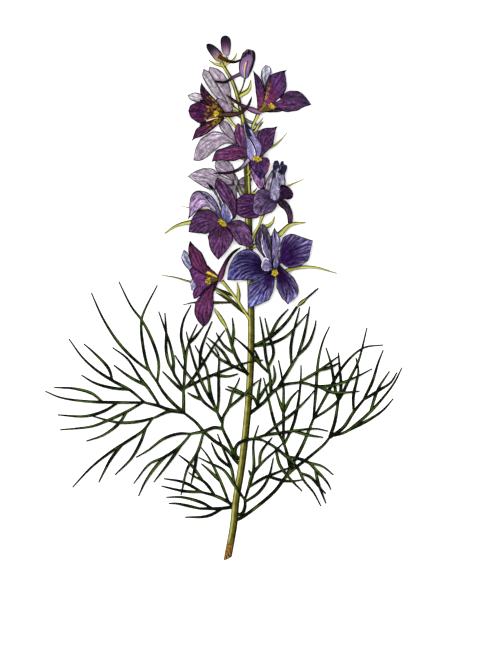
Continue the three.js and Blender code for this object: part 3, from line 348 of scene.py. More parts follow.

# ---- Flowers ----

# A sheet's two edges run from its foot to its tip, measured from the receptacle, and both end at the
# tip of the first. rise gives its height at its foot, its middle and its tip. A plain blade has only a
# middle, a tip and a width.
# paint is the colour of the heart, the blade, the tip and the strokes, and the heart gives way at turn.
# lines is how strong a calyx's light strokes, its dark veins and its shading are. at is the receptacle,
# face is where the open flower faces, tuft is how broad, how tall and how turned its stamens stand, and
# girth is how thick its spur is.
# marks are painted places: (from, to) along the sheet, (from, to) across it, and an ink. Those with
# a fourth value of less than 1 break up into streaks.
# White and silver marks along the edges are painted highlights, and so are the eighth flower's cream marks.
FLOWERS = {
    "first": {
        "at": (20.5, 10, 20),
        "face": (0, -0.1, 1),
        "slot": "sepal_indigo",
        "lines": (0.75, 0.22, 0.75),
        "spur": [(0.5, 3, -4), (1, 8, -7), (0.5, 13, -8.5)],
        "spur_paint": ("3a2250", "241336"),
        "stamens": (0, -0.2, 3.6),
        "sepals": [{
            "one": [(-0.7, 1), (-2.7, 1.6), (-5.1, 4.2), (-6.1, 6.6), (-8.3, 8.4), (-11.1, 9.2),
                    (-13.9, 8.6), (-16.3, 6.2), (-17.9, 3.2), (-18.7, 0.2), (-19.1, -3.1)],
            "other": [(-0.7, 0), (-3.5, -1), (-5.5, -2), (-8.3, -2.8), (-11.1, -3.3), (-13.9, -3.1),
                      (-16.7, -3.2)],
            "rise": (0.2, 1.2, -0.8), "paint": ("1a0830", "261c4a", "44427c", "8882b8"), "turn": 0.5,
        }, {
            "one": [(0.1, 1.8), (1.5, 4.6), (1.9, 7), (2.1, 10.6), (3.1, 13.6), (4.9, 15.1),
                    (7.7, 15.3), (10.9, 14.2), (13.3, 13.4), (15.3, 12.7)],
            "other": [(0.9, 1), (2.5, 3.6), (4.3, 2.3), (6.5, 1.8), (9.1, 2.1), (11.7, 3.4),
                      (13.6, 5.6), (14.3, 8.6), (14.7, 10.6)],
            "rise": (0, 0.6, 0), "paint": ("2a0e42", "332052", "4c4274", "9a90ba"), "turn": 0.62,
        }, {
            "one": [(-1.5, -0.2), (-4.3, -0.8), (-7.3, -2.6), (-9.9, -4), (-10.7, -7), (-10.9, -10.6),
                    (-10.9, -14.3)],
            "other": [(0.1, -1), (-0.1, -3.4), (-0.3, -6.2), (-1.1, -8.8), (-2.5, -11), (-5.1, -12.4),
                      (-8.1, -13.6)],
            "rise": (0, 0.6, -1.5), "paint": ("200832", "362458", "5a60a2", "a4a4da"), "turn": 0.36,
        }, {
            "one": [(0.3, -0.2), (0.7, -2.6), (0.6, -5), (1.3, -7.6), (2.7, -10.2), (4.3, -11.8),
                    (5.3, -12.9)],
            "other": [(0.9, 1.4), (1.7, 3.2), (3.7, 1.4), (5.7, -0.3), (7.9, -2.6), (9.3, -5.4),
                      (9.5, -8), (8.3, -10.2), (6.5, -11.6)],
            "rise": (0, 0.6, -1), "paint": ("220836", "301d4a", "4c4276", "a499c8"), "turn": 0.48,
        }, {
            "one": [(-1.9, 1.8), (-4.5, 6.2), (-6.7, 8.8), (-7.8, 11.8), (-7.6, 15.2), (-6.4, 18),
                    (-4.9, 19.6)],
            "other": [(0.1, 1.8), (-0.3, 6.2), (-0.9, 10.2), (-1.5, 13.6), (-2.5, 16.6), (-3.6, 18.4)],
            "rise": (-0.6, -2, -1), "paint": ("33223f", "3e2a46", "34262f", "85789a"), "turn": 0.4,
        }],
        "petals": [{
            "one": [(-1.5, 1.8), (-3.1, 5.4), (-4.7, 8.4), (-5.3, 11.4), (-5.1, 14.2), (-4.5, 16.3)],
            "other": [(-0.7, 1.8), (-1, 5.4), (-1.7, 8.8), (-2.5, 11.8), (-3.5, 14.4)],
            "rise": (2, 2.6, 3), "paint": ("463860", "756a9a", "7e709e", "c4bce0"),
            "marks": [
                ((0.78, 0.95), (-0.5, 0.4), "navy"),
                ((0.5, 0.84), (0.35, 0.8), "navy", 0.8),
                ((0.3, 0.95), (-1.4, -0.86), "white"),
            ],
        }, {
            "one": [(-0.7, 1.8), (-1.3, 5.4), (-1.3, 9), (-1.4, 12.6), (-1, 15.6), (-0.2, 18)],
            "other": [(0.5, 1.8), (1.1, 5.8), (2.1, 9.4), (2.2, 12.6), (1.2, 15.6)],
            "rise": (2.2, 2.8, 3.2), "paint": ("463860", "766c9c", "8878ac", "c4bce0"),
            "marks": [
                ((0.74, 0.94), (-0.45, 0), "navy"),
                ((0.22, 0.86), (-1.4, -0.8), "black"),
                ((0.22, 0.6), (0.85, 1.4), "white", 0.7),
            ],
        }, {
            "one": [(-0.7, 1.4), (-1.9, 4.4), (-3.7, 6), (-5, 4.2), (-5.3, 2.2), (-4.3, 0.7)],
            "other": [(-0.7, 0.6), (-1.5, 0.6), (-2.5, 0.6)],
            "rise": (2.4, 3.4, 3), "paint": ("4e4068", "7a70a4", "8c80b0", "e0dcf0"),
            "marks": [((0.35, 1.1), (-1.4, -0.86), "white"), ((0.5, 1.1), (0.8, 1.4), "white", 0.7)],
        }, {
            "one": [(-0.7, 1), (-1.1, 3.4), (-0.5, 5.6), (0.7, 6.8)],
            "other": [(0.1, 1), (1.2, 1.8), (1.8, 4), (1.5, 5.8)],
            "rise": (2.6, 3.8, 3.6), "paint": ("4e4068", "7a70a4", "776aa0", "d6d0ec"),
            "marks": [((0.05, 0.8), (-1.4, -0.7), "black")],
        }],
    },
    "second": {
        "at": (0, 29.5, 25),
        "face": (0, 0, 1),
        "slot": "sepal_plum",
        "lines": (0.35, 0.5, 0.85),
        "spur": [(-1, -2, -4), (-3, -6, -6.5), (-5, -11, -7.5)],
        "spur_paint": ("40264a", "28142e"),
        "stamens": (-0.5, 0.3, 3.6),
        "tuft": (1.7, 0.8, -0.4),
        "sepals": [{
            "one": [(1.8, 0.7), (2.2, 3.7), (0.4, 7.7), (-1.8, 11.3), (-3.4, 14.7), (-3.2, 16.9),
                    (-2.4, 18.5)],
            "other": [(3, 0.7), (5, 2.7), (5.5, 5.5), (5.2, 8.7), (4, 12.1), (2.4, 14.5), (0.2, 16.7)],
            "rise": (-0.2, 0, -1.5), "paint": ("4c2e54", "58345c", "42244a", "906894"), "turn": 0.3,
        }, {
            "one": [(-1, 1.1), (-3.8, 5.5), (-6, 8.1), (-8, 10.7), (-10, 13.2), (-11.8, 12.7),
                    (-13.2, 10.3), (-13.7, 7.1), (-13.7, 4.3), (-14.3, 1.6)],
            "other": [(-1, 0.3), (-4.2, 4.3), (-6.6, 6.8), (-9, 5.9), (-11.2, 4.5), (-12.8, 2.9)],
            "rise": (-0.6, -2.2, -3.2), "paint": ("6f5380", "a288ae", "806292", "bea8c8"), "turn": 0.25,
            "marks": [((0.93, 1), (-1, 1), "black")],
        }, {
            "one": [(-0.6, 0.7), (-2, 1.7), (-3, 3.5), (-4.8, 5.2), (-7.4, 5.7), (-10, 5.1), (-12, 3.2),
                    (-13, 0.7), (-13.7, -1.5), (-14, -3.5)],
            "other": [(-0.6, -0.9), (-2.6, -2.3), (-4.6, -3.5), (-7, -4.1), (-9.8, -4), (-12.2, -3.7)],
            "rise": (0.2, 0.8, -0.6), "paint": ("5c3856", "4a2c52", "3a2044", "86608a"), "turn": 0.25,
        }, {
            "one": [(-1, -0.5), (-3.4, -2.1), (-5.8, -4.1), (-6, -6.9), (-5.4, -9.9), (-4, -12.3),
                    (-2, -14.6)],
            "other": [(0.6, -0.5), (2.2, -2.5), (3.8, -4.7), (3.6, -7.1), (2.4, -9.5), (0.6, -11.7)],
            "rise": (0.4, 1.2, -1), "paint": ("462842", "522e58", "5c345a", "8e6692"), "turn": 0.3,
        }, {
            "one": [(0.6, 0.3), (2.6, 0.9), (5, 1.4), (7.4, 1.2), (9.6, -0.3), (11, -2.9), (11.6, -6.3),
                    (12, -9.9)],
            "other": [(0.6, -0.9), (2.6, -3.1), (4.2, -6.1), (6, -8.2), (9, -9.2)],
            "rise": (0.2, 0.6, -1), "paint": ("543658", "5e3e66", "4a2a52", "9a749e"), "turn": 0.3,
        }],
        "petals": [{
            "one": [(-0.6, 0.7), (-2.7, 2.7), (-3.3, 5.7), (-5.4, 8.1), (-7.6, 10.5), (-10.1, 13.3)],
            "other": [(-0.2, 1.1), (-1, 4.3), (-2.1, 7.3), (-4, 10.3), (-6.6, 12.5)],
            "rise": (1.8, 2.4, 2.4), "paint": ("5a4676", "7a6d9e", "7468a0", "c8c0e8"),
            "marks": [
                ((0.6, 1.1), (-1.4, -0.82), "black"),
                ((0.45, 0.9), (0.8, 1.4), "black"),
                ((0.75, 0.85), (-0.45, -0.02), "black"),
                ((0.68, 0.76), (-0.65, -0.2), "black"),
                ((0.66, 0.73), (0.1, 0.5), "black"),
                ((0.3, 0.43), (0.5, 1.4), "black"),
            ],
        }, {
            "one": [(-0.6, 1.1), (-0.9, 4.7), (-1.6, 8.1), (-3.6, 11.5), (-5.6, 14.3), (-7, 16.7)],
            "other": [(1, 1.1), (1.6, 4.3), (-0.2, 8.1), (-2.4, 11.9), (-4.4, 14.9)],
            "rise": (2, 2.9, 3), "paint": ("56588c", "78709e", "5f5276", "c4bce4"),
            "marks": [
                ((0.44, 0.8), (-1.4, -0.8), "white"),
                ((0.34, 0.62), (0.78, 1.4), "white"),
                ((0.77, 0.9), (-0.9, 0.9), "black"),
                ((0.93, 1.1), (-1.3, 1.3), "slate"),
                ((0.38, 0.5), (-0.9, -0.45), "black"),
            ],
        }, {
            "one": [(-0.6, 1.5), (-1.2, 4.3), (-0.8, 6.7), (0.4, 8.4)],
            "other": [(1, -0.3), (3.2, 0.7), (3.5, 2.9), (2, 5.9)],
            "rise": (2.4, 3.6, 3.2), "paint": ("5c5c92", "7470a4", "8d86ba", "d0ccee"),
            "marks": [((0.3, 1.1), (0.75, 1.4), "white", 0.8)],
        }],
    },
    "third": {
        "at": (-1.5, 7.5, 14),
        "face": (-0.5, 0, 0.85),
        "slot": "sepal_magenta",
        "lines": (0.2, 0.65, 0.75),
        "spur": [(2.5, 6.5, 1), (5.5, 10.5, 1), (8.5, 12.5, 0.5)],
        "spur_paint": ("6a3458", "1c0c14"),
        "stamens": (-5, -1, 3.4),
        "sepals": [{
            "one": [(-1.1, -0.1), (-4.7, 1.1), (-8.3, 2.5), (-11.2, 4.9), (-12.1, 8.1), (-12.6, 11.3),
                    (-12.4, 13.7), (-11.8, 15.4)],
            "other": [(-0.3, 1.1), (-2.3, 3.1), (-4.3, 4.6), (-5.7, 7.1), (-6.9, 10.1), (-8.7, 11.9),
                      (-10.4, 13.5)],
            "rise": (0, 0, -2), "paint": ("52224c", "662e58", "2a1420", "925478"), "turn": 0.2,
            "marks": [
                ((0.03, 0.26), (-0.8, -0.2), "olive"),
                ((0.03, 0.25), (-0.4, 0.25), "pollen"),
                ((0.9, 1.1), (-1.4, 1.4), "black"),
                ((0.6, 1.1), (-1.4, -0.8), "black", 0.8),
            ],
        }, {
            "one": [(-1.1, 0.7), (-4.3, 3.3), (-8.3, 4.5), (-11.8, 4.2), (-11.8, 1.7), (-10.6, -0.7),
                    (-9.3, -2.7), (-10.1, -4.1), (-10.9, -5.9), (-10.4, -8.2)],
            "other": [(-0.7, -0.5), (-2.9, -1.9), (-4.5, -3.5), (-6.7, -5.3), (-8.5, -7.3)],
            "rise": (-0.2, -1.2, -3), "paint": ("522258", "6c3a70", "502458", "a4649c"), "turn": 0.25,
            "marks": [
                ((0.0, 0.2), (0.2, 0.7), "cream"),
                ((0.0, 0.22), (0.66, 1.4), "brown"),
                ((0.45, 0.95), (-1.4, -0.6), "black", 0.55),
            ],
        }, {
            "one": [(-0.7, -0.5), (-3.1, -2.5), (-5.9, -4.9), (-8.5, -7.7), (-10, -10.7),
                    (-10.2, -13.7), (-8.8, -16.9), (-6.5, -19.4)],
            "other": [(-0.3, -0.9), (-1.8, -2.7), (-2.4, -5.3), (-2.4, -8.9), (-2.6, -12.3),
                      (-3.4, -15.3), (-4.7, -17.7)],
            "rise": (0.1, -0.8, -4), "paint": ("7e3e6a", "602a58", "361c3a", "9c6890"), "turn": 0.35,
        }, {
            "via": (-8, 3, -4.5), "tip": (-13, 7, -7.5), "wide": 7, "paint": BACK_MAGENTA,
        }, {
            "via": (-5, -3, -5), "tip": (-8, -7, -8.5), "wide": 7, "paint": BACK_MAGENTA,
        }],
        "petals": [{
            "one": [(-3.1, 0.7), (-8.3, 2.7), (-11.9, 3.3), (-14.1, 5.3), (-15.4, 8.5), (-14.4, 11.8)],
            "other": [(-2.7, 1.5), (-6.7, 4.7), (-10.3, 6.7), (-12.1, 9.1), (-13.3, 10.9)],
            "rise": (-1.6, -3, -4.5), "paint": ("5c4a70", "7f7ca8", "9c9cb8", "d0cce4"),
        }, {
            "one": [(-3.1, 0.3), (-7.1, 0.7), (-10.3, 0.7), (-11.7, -1.3), (-11.5, -4.5)],
            "other": [(-3.1, -0.5), (-5.9, -2.1), (-8.3, -3.7), (-9.9, -4.9)],
            "rise": (-1.8, -3.4, -5), "paint": ("5c4a70", "9088b4", "9c98b8", "d4d0e6"),
        }],
    },
    "fourth": {
        "at": (21.5, 39, 18),
        "face": (0.3, 0.1, 1),
        "slot": "sepal_violet",
        "lines": (0.2, 0.35, 0.8),
        "spur": [(-2, -1, -4), (-5, 3, -6.5), (-6.5, 8, -7)],
        "spur_paint": ("4a3450", "2c1a34"),
        "stamens": (-0.8, 1.8, 1),
        "sepals": [{
            "one": [(-2.1, -0.4), (-5.7, 0.8), (-8.9, 2.2), (-12.1, 2.5), (-14.9, 1.4), (-16.7, -0.8),
                    (-17.5, -3.6)],
            "other": [(-2.1, -2.4), (-4.9, -5.2), (-7.3, -6.7), (-10.1, -7.6), (-13.5, -7.2),
                      (-16.1, -5.8)],
            "rise": (-0.6, -1.4, -1.6), "paint": ("48305e", "361642", "5e3862", "8a6492"), "turn": 0.4,
        }, {
            "one": [(-0.5, 0.4), (-2.3, 1.8), (-3.9, 3.8), (-5.9, 4.4), (-7.9, 3.7), (-9.2, 1.6),
                    (-9.8, -2), (-9.5, -5.2)],
            "other": [(-0.1, -1.2), (-0.4, -2.9), (-2.1, -4.9), (-4.5, -5.8), (-6.9, -6.4)],
            "rise": (0.2, 1.6, 2), "paint": ("3c2c4c", "4a385a", "7c648c", "b09aba"), "turn": 0.45,
        }, {
            "one": [(-0.5, 0.8), (0.4, 3.4), (1, 5.5), (2.5, 6), (4.2, 5.3), (5.7, 4), (6.4, 2.3)],
            "other": [(0.3, -0.4), (1.9, 0), (3.5, 0.2), (4.9, 0.1), (6, 0.8)],
            "rise": (0.2, 0.8, 0.4), "paint": ("281638", "361a40", "301c30", "604870"), "turn": 0.3,
            "marks": [
                ((0.3, 1.1), (-1.4, -0.72), "black", 0.9),
                ((0.5, 1.1), (0.74, 1.4), "black", 0.9),
            ],
        }, {
            "one": [(-0.2, 0), (0.9, -2.6), (2.7, -4), (3.8, -6.2), (4.1, -8), (4.2, -9.2), (5, -9.7)],
            "other": [(0.5, 0.4), (3.5, -0.4), (5.5, -3.3), (6.2, -5.8), (6.2, -8), (6, -9.2)],
            "rise": (0, 0.8, 0), "paint": ("2c1530", "452a48", "2e1a30", "8c7888"), "turn": 0.3,
        }, {
            "one": [(-1.3, 0.4), (-4.1, 0.4), (-5.1, 3.2), (-4.9, 6.2), (-3.7, 9.2), (-1.9, 12.2)],
            "other": [(-0.9, 1.2), (-1.8, 4.4), (-1.9, 7.6), (-1.5, 10)],
            "rise": (0, -0.6, -0.4), "paint": ("80708a", "9a8a9e", "a29aa4", "c8c0cc"), "turn": 0.3,
        }],
        "petals": [{
            "one": [(-1.3, -0.4), (-2.9, 1.3), (-3.2, 3.8), (-2.4, 7.2), (-1.8, 10.4), (-1.8, 12.9),
                    (-1.6, 14.6), (-1, 15.6), (-0.2, 15.8)],
            "other": [(0.3, 0), (1.2, 1.4), (1.1, 4.6), (0.9, 7.8), (0.2, 10.6), (0.9, 13.4),
                      (0.7, 14.7), (0.4, 15.6)],
            "rise": (2.2, 3.2, 3.4), "paint": ("a49cbc", "a29cc0", "5c5474", "dcd8ec"), "turn": 0.4,
            "marks": [
                ((0.56, 0.76), (-1.4, 0.2), "slate", 0.9),
                ((0.7, 1.1), (-1.4, 1.4), "slate", 0.75),
                ((0.9, 1.1), (-1.4, 1.4), "slate"),
                ((0.1, 0.6), (0.8, 1.4), "silver_highlight", 0.5),
                ((0.6, 0.74), (0.55, 1), "silver_highlight", 0.7),
                ((0, 0.14), (-1.2, 0.2), "silver_highlight", 0.5),
                ((0.3, 0.7), (-1.4, -0.8), "slate", 0.6),
            ],
        }, {
            "one": [(-0.1, 0.8), (0.7, 4.8), (0.6, 8.4), (0.2, 10.8), (0.8, 13), (1.3, 14.8), (2, 15.6)],
            "other": [(0.7, 1.2), (2.8, 4), (3.4, 7.2), (3, 9.8), (4, 12.8), (3.8, 13.8), (2.7, 14.2),
                      (2.6, 15.2)],
            "rise": (-1.6, 0.6, 2.6), "paint": ("8e86a8", "b4aece", "5c5470", "dcd6ee"), "turn": 0.3,
            "marks": [
                ((0.6, 1.1), (-0.7, 1.4), "slate", 0.75),
                ((0.88, 1.1), (-1.4, 0.6), "slate"),
                ((0.62, 0.74), (-1.2, -0.3), "black"),
                ((0.5, 0.62), (-1.3, -0.6), "silver_highlight", 0.7),
            ],
        }],
    },
    "fifth": {
        "at": (5, 45.5, 8),
        "face": (0, 0, 1),
        "slot": "sepal_lilac",
        "lines": (0.45, 0.65, 0.6),
        "spur": [(-0.5, 2.5, -3), (-3, 6, -5.5), (-7, 8, -6.5)],
        "spur_paint": ("a08ea8", "7d6b84"),
        "stamens": (-1.5, 0.5, -5),
        "sepals": [{
            "one": [(-1.6, 1.5), (-5.6, 3.3), (-9.2, 5.9), (-12.4, 6.4), (-15, 5.8), (-17.4, 4.6),
                    (-19.5, 3)],
            "other": [(-1.2, -0.1), (-5.2, -1.1), (-9.2, -2.5), (-12, -1.8), (-14.8, -0.2), (-17.2, 1.4)],
            "rise": (0, -3.5, -7.5), "paint": BACK_LILAC,
        }, {
            "one": [(-0.8, 1.1), (-4, 3.1), (-7.2, 4.7), (-8.6, 6.9), (-8.2, 9.1)],
            "other": [(0.4, 1.1), (-0.6, 3.5), (-0.8, 6.3), (-2.8, 8.9), (-5.6, 10.3)],
            "rise": (0, -1, -3), "paint": BACK_LILAC_DEEP,
        }, {
            "via": (3.6, -4.6, -3.5), "tip": (6, -9.4, -7.5), "wide": 4, "paint": BACK_LILAC,
        }, {
            "via": (-3, -5, -3.5), "tip": (-6, -10, -7.5), "wide": 7, "paint": BACK_LILAC,
        }, {
            "via": (4, 1.4, -3.5), "tip": (6.6, 2, -6.5), "wide": 3.4, "paint": BACK_LILAC_DEEP,
        }],
        "petals": [{
            "via": (-2.5, -2, -4), "tip": (-6, -3, -6), "wide": 3.6, "paint": HIDDEN_HOOD,
        }, {
            "via": (2, -2, -4.5), "tip": (4, -4, -6.5), "wide": 3.6, "paint": HIDDEN_HOOD,
        }],
    },
    "sixth": {
        "at": (14, 55, 26),
        "face": (0.1, 0, 1),
        "slot": "sepal_magenta",
        "lines": (0.35, 0.5, 0.85),
        "spur": [(-3.5, 0.2, -2.6), (-6.5, -3, -3), (-10.5, -5, -3), (-18, -5.5, -3.4)],
        "spur_paint": ("ccb4e0", "241020"),
        "girth": 0.9,
        "stamens": (-0.6, 0.2, 3.7),
        "tuft": (1.7, 0.8, 0.2),
        "sepals": [{
            "one": [(-1.8, 1.2), (-4.2, 3.8), (-7.4, 5.5), (-10.6, 5.9), (-13.8, 4.8), (-16.8, 3.7),
                    (-18, 1.4), (-18.8, -1)],
            "other": [(-1.8, 0), (-5, 0.9), (-7.8, 0), (-11, -0.7), (-14.2, -0.3), (-16.8, -0.5)],
            "rise": (0, -0.6, -2), "paint": ("602c52", "683262", "5c324e", "945a86"), "turn": 0.4,
            "marks": [((0.1, 0.95), (-1.4, -0.7), "slate", 0.6)],
        }, {
            "one": [(-2.2, 1.2), (-5.8, 2.8), (-8, 5.4), (-9.3, 8), (-9.7, 10.6), (-9.2, 13),
                    (-8.3, 14.7)],
            "other": [(-1, 1.6), (-3.4, 4.4), (-4.6, 7.6), (-5.3, 10.6), (-6.4, 13.3)],
            "rise": (-0.3, -1.5, -3), "paint": ("5a305e", "643466", "784668", "a06894"), "turn": 0.4,
        }, {
            "one": [(-0.6, 0.8), (0.4, 4), (0.1, 7.2), (-0.6, 9.4), (0.8, 11.9), (3, 12.7), (5.6, 12.8),
                    (7.8, 13.4)],
            "other": [(0.2, 0), (3, 2.8), (5.2, 5), (6.2, 7.6), (6.6, 10.2), (7.1, 12.2)],
            "rise": (0, 0.4, -0.6), "paint": ("683664", "4c2850", "3a2a4a", "7c5082"), "turn": 0.35,
        }, {
            "one": [(-2.2, 0.4), (-3.5, -0.6), (-3.2, -2.6), (-1.8, -5), (-0.5, -6.8), (0.7, -8.1)],
            "other": [(1, 0.4), (3.2, 0.9), (4.5, -0.3), (4.3, -2.6), (3.8, -4.8), (2.4, -6.6)],
            "rise": (0.4, 1.4, 1.8), "paint": ("46305e", "5a386c", "443066", "b4769e"), "turn": 0.4,
            "marks": [((0.1, 0.75), (0.6, 1.1), "rose", 0.6), ((0.5, 1), (-1.3, 0.4), "navy", 0.45)],
        }, {
            "one": [(-1.8, -0.4), (-3.6, -2.4), (-3.1, -5.2), (-1.9, -8.4), (-0.8, -10.4), (1, -12.2)],
            "other": [(0.6, -0.4), (3, -3.2), (2.8, -6.6), (2.7, -9.6)],
            "rise": (-0.6, -1.6, -3), "paint": ("7e5484", "946a9c", "926898", "c098c4"),
        }],
        "petals": [{
            "one": [(-3.4, -0.4), (-4.8, 1.6), (-4.9, 5.2), (-5.4, 8.6), (-6.3, 11.4), (-5.9, 15.2)],
            "other": [(-1.2, 0), (-1.1, 3), (-1.7, 5.2), (-3.3, 7.9), (-4.7, 10.1), (-5.4, 12.4)],
            "rise": (1.8, 3, 3), "paint": ("a398d6", "a296d0", "9a92c2", "e6def8"),
            "marks": [((0.06, 1.1), (0.72, 1.4), "white")],
        }, {
            "one": [(-1.4, 0), (-1.2, 2.4), (-1.8, 4.8), (-3.3, 7.4), (-4.9, 10.2), (-5.5, 12.8),
                    (-5.2, 15.4)],
            "other": [(-0.2, 0), (1.4, 3.4), (1.2, 6), (-0.6, 8.8), (-2.6, 12)],
            "rise": (2, 2.8, 2.8), "paint": ("9e92c8", "a89ad8", "6a6296", "e6def8"),
            "marks": [
                ((0.05, 1), (-1.4, -0.68), "black"),
                ((0.6, 1.1), (-1.4, 0.2), "slate"),
                ((0.78, 1.1), (-1.4, 1.4), "slate"),
            ],
        }],
    },
    "seventh": {
        "at": (6, 61.5, 8),
        "face": (0, 0, 1),
        "slot": "sepal_lilac",
        "lines": (0.45, 0.65, 0.6),
        "spur": [(2, 2, -1.5), (6, 5, -2.5), (10, 9, -3)],
        "spur_paint": ("a08ea8", "7d6b84"),
        "stamens": (0.5, 0.5, -5),
        "sepals": [{
            "one": [(-1, 0.7), (-5, 3.7), (-9, 5.1), (-12.2, 3.9), (-15.2, 1.9), (-16.9, -0.9),
                    (-17.7, -3.7), (-18.2, -6.6)],
            "other": [(-1, -0.5), (-4.6, 0.1), (-7.8, -1.3), (-10.6, -3.7), (-13, -5.7), (-15.8, -6.8)],
            "rise": (0, -3, -7.5), "paint": BACK_MAUVE,
        }, {
            "one": [(-1.4, 0.7), (-4.2, 2.7), (-7, 5.5), (-7.8, 7.5), (-6.8, 9.3)],
            "other": [(-0.2, 0.3), (-1.3, 3.5), (-2.8, 6.5), (-4.4, 8.7)],
            "rise": (0, -1, -3), "paint": BACK_MAUVE_DEEP,
        }, {
            "via": (6, -3, -3.5), "tip": (10, -6, -7.5), "wide": 7, "paint": BACK_MAUVE,
        }, {
            "via": (7, 2, -3.5), "tip": (12, 4, -7.5), "wide": 7, "paint": BACK_MAUVE,
        }, {
            "via": (1, -3.6, -3), "tip": (1.6, -6.4, -6), "wide": 5, "paint": BACK_MAUVE_DEEP,
        }],
        "petals": [{
            "via": (-2.5, 2, -4), "tip": (-6, 3, -6), "wide": 3.6, "paint": HIDDEN_HOOD,
        }, {
            "via": (2, 2.5, -4.5), "tip": (3, 5.5, -6.5), "wide": 3.6, "paint": HIDDEN_HOOD,
        }],
    },
    "eighth": {
        "at": (0.5, 73, 19),
        "face": (-0.25, 0, 1),
        "slot": "sepal_maroon",
        "lines": (0.35, 0.5, 0.85),
        "spur": [(5.5, 0.5, 0.6), (9, 3, 0.8), (11, 7.5, 0.6)],
        "spur_paint": ("50382e", "34182e"),
        "girth": 0.95,
        "stamens": (-3.6, 0.4, 3),
        "sepals": [{
            "one": [(-1.1, 0.4), (-4.1, 2.3), (-6.9, 4.2), (-8.8, 6.4), (-9.8, 8.8), (-9.8, 11.2),
                    (-9.3, 13.1)],
            "other": [(0.1, 1.2), (-1.9, 3.8), (-4.1, 6.5), (-6.1, 8.7), (-7.9, 10.7)],
            "rise": (0, -0.4, -2), "paint": ("3e280c", "42183c", "280e26", "643458"), "turn": 0.4,
            "marks": [((0, 0.7), (-0.2, 0.9), "gold", 0.34), ((0.02, 0.4), (-0.9, 0.5), "gold", 0.38)],
        }, {
            "one": [(-1.1, 0.8), (-4.1, 2.4), (-6.7, 3.9), (-9.7, 5.2), (-12.1, 4.7), (-13.8, 3.7),
                    (-14.6, 1.6)],
            "other": [(-1.1, -1.2), (-4.1, -1.7), (-6.9, -2.6), (-9.3, -3.5), (-11.7, -2.6), (-13.7, -1)],
            "rise": (-0.2, -1.4, -3.2), "paint": ("4a2e0e", "441640", "401c40", "6c3a5c"), "turn": 0.42,
            "marks": [
                ((0.02, 0.5), (-1.4, 1.4), "gold", 0.36),
                # these cream marks are painted highlights
                ((0.1, 0.24), (-0.75, -0.5), "cream"),
                ((0.1, 0.44), (0.85, 1.4), "cream"),
                ((0, 0.2), (-0.4, 0.4), "lime", 0.8),
            ],
        }, {
            "one": [(-1.1, -0.8), (-3.9, -1.9), (-6.7, -3.2), (-9.5, -4.4), (-11.3, -5.5), (-12.4, -8),
                    (-13.2, -10.7)],
            "other": [(0.1, -1.6), (-2.1, -3.6), (-4.7, -5.8), (-7.3, -7.8), (-9.9, -9), (-11.7, -9.5)],
            "rise": (0, -0.4, -2), "paint": ("4a300e", "5c2a4e", "3e2038", "7e4a6e"), "turn": 0.42,
            "marks": [((0.02, 0.46), (-0.9, 0.6), "gold", 0.38), ((0.92, 1.1), (-1.4, 1.4), "black")],
        }, {
            "via": (-6, 3, -4), "tip": (-10, 6, -7.5), "wide": 6, "paint": BACK_MAROON,
        }, {
            "via": (-6, -2, -4), "tip": (-10, -5, -7.5), "wide": 6, "paint": BACK_MAROON,
        }],
        "petals": [{"via": (-5, 0.6, -6.4), "tip": (-10, 1.5, -8.4), "wide": 4, "paint": HIDDEN_HOOD}],
    },
    "ninth": {
        "at": (14, 74, 18),
        "face": (0.2, 0.1, 1),
        "slot": "sepal_violet",
        "lines": (0.25, 0.5, 0.75),
        "spur": [(-4, 1.5, -0.6), (-8, 3.5, -0.8), (-13, 7, -0.6)],
        "spur_paint": ("8c648c", "34162e"),
        "girth": 0.95,
        "stamens": (5.4, 2.4, 2.6),
        "sepals": [{
            "one": [(-0.6, 0.2), (-0.6, 3.8), (-1.1, 7.8), (-1.6, 12.2), (-2.1, 16.7)],
            "other": [(0.6, 1), (2.2, 4.6), (2.6, 8), (1.9, 11.2), (0.4, 14)],
            "rise": (0, -0.4, -1), "paint": ("8e3a6a", "4e3060", "221c44", "845480"), "turn": 0.46,
        }, {
            "one": [(-0.2, 0.6), (1.8, 4.2), (2.5, 8.2), (2.8, 11.8), (4.2, 14.2), (6.4, 15.7),
                    (8.6, 16.4), (11.6, 17)],
            "other": [(1, 0.2), (5, 2.9), (7.8, 5.1), (10.2, 7.3), (11.2, 10.4), (11, 13.6), (10.7, 16)],
            "rise": (0.1, -0.3, -2), "paint": ("84305e", "502c60", "261e46", "845478"), "turn": 0.46,
            "marks": [
                ((0, 0.2), (-0.9, 0.1), "lime", 0.8),
                ((0.06, 0.6), (-0.95, -0.36), "brown", 0.85),
                ((0.14, 0.5), (-0.88, -0.48), "olive", 0.85),
                ((0.08, 0.34), (-0.78, -0.6), "lime", 0.8),
                ((0.24, 0.52), (-0.76, -0.5), "gold", 0.5),
            ],
        }, {
            "one": [(0.6, 0.8), (4.6, 3.2), (8.2, 5.4), (10.4, 7.5), (12.8, 8.6), (15.6, 8.6),
                    (17.8, 7.3), (19.6, 5.2), (21.2, 3)],
            "other": [(0.6, -0.4), (4.2, 0.2), (7.8, 1.2), (10.2, 0.2), (13, 0.2), (15.6, 0.6), (18, 2)],
            "rise": (-0.2, -1.4, -3), "paint": ("7c365e", "523058", "2c2446", "72506f"), "turn": 0.34,
            "marks": [
                ((0.04, 0.22), (-0.9, 0.6), "cream", 0.7),
                ((0.16, 0.34), (-0.5, 0.5), "pollen", 0.42),
                ((0.28, 0.4), (-1.1, -0.8), "white"),
            ],
        }, {
            "via": (5, 7, -4.5), "tip": (9, 13, -7.5), "wide": 7, "paint": BACK_VIOLET,
        }, {
            "via": (9, 3.4, -5), "tip": (17, 4, -8), "wide": 6, "paint": BACK_VIOLET,
        }],
        "petals": [{
            "one": [(1.4, 1.8), (2.2, 6.6), (2.1, 10.6), (1, 14), (1.2, 17), (2.8, 19.1)],
            "other": [(2.2, 2.2), (3.6, 6.6), (3.4, 10.6), (4, 13.6), (5.2, 16), (4.6, 18.2)],
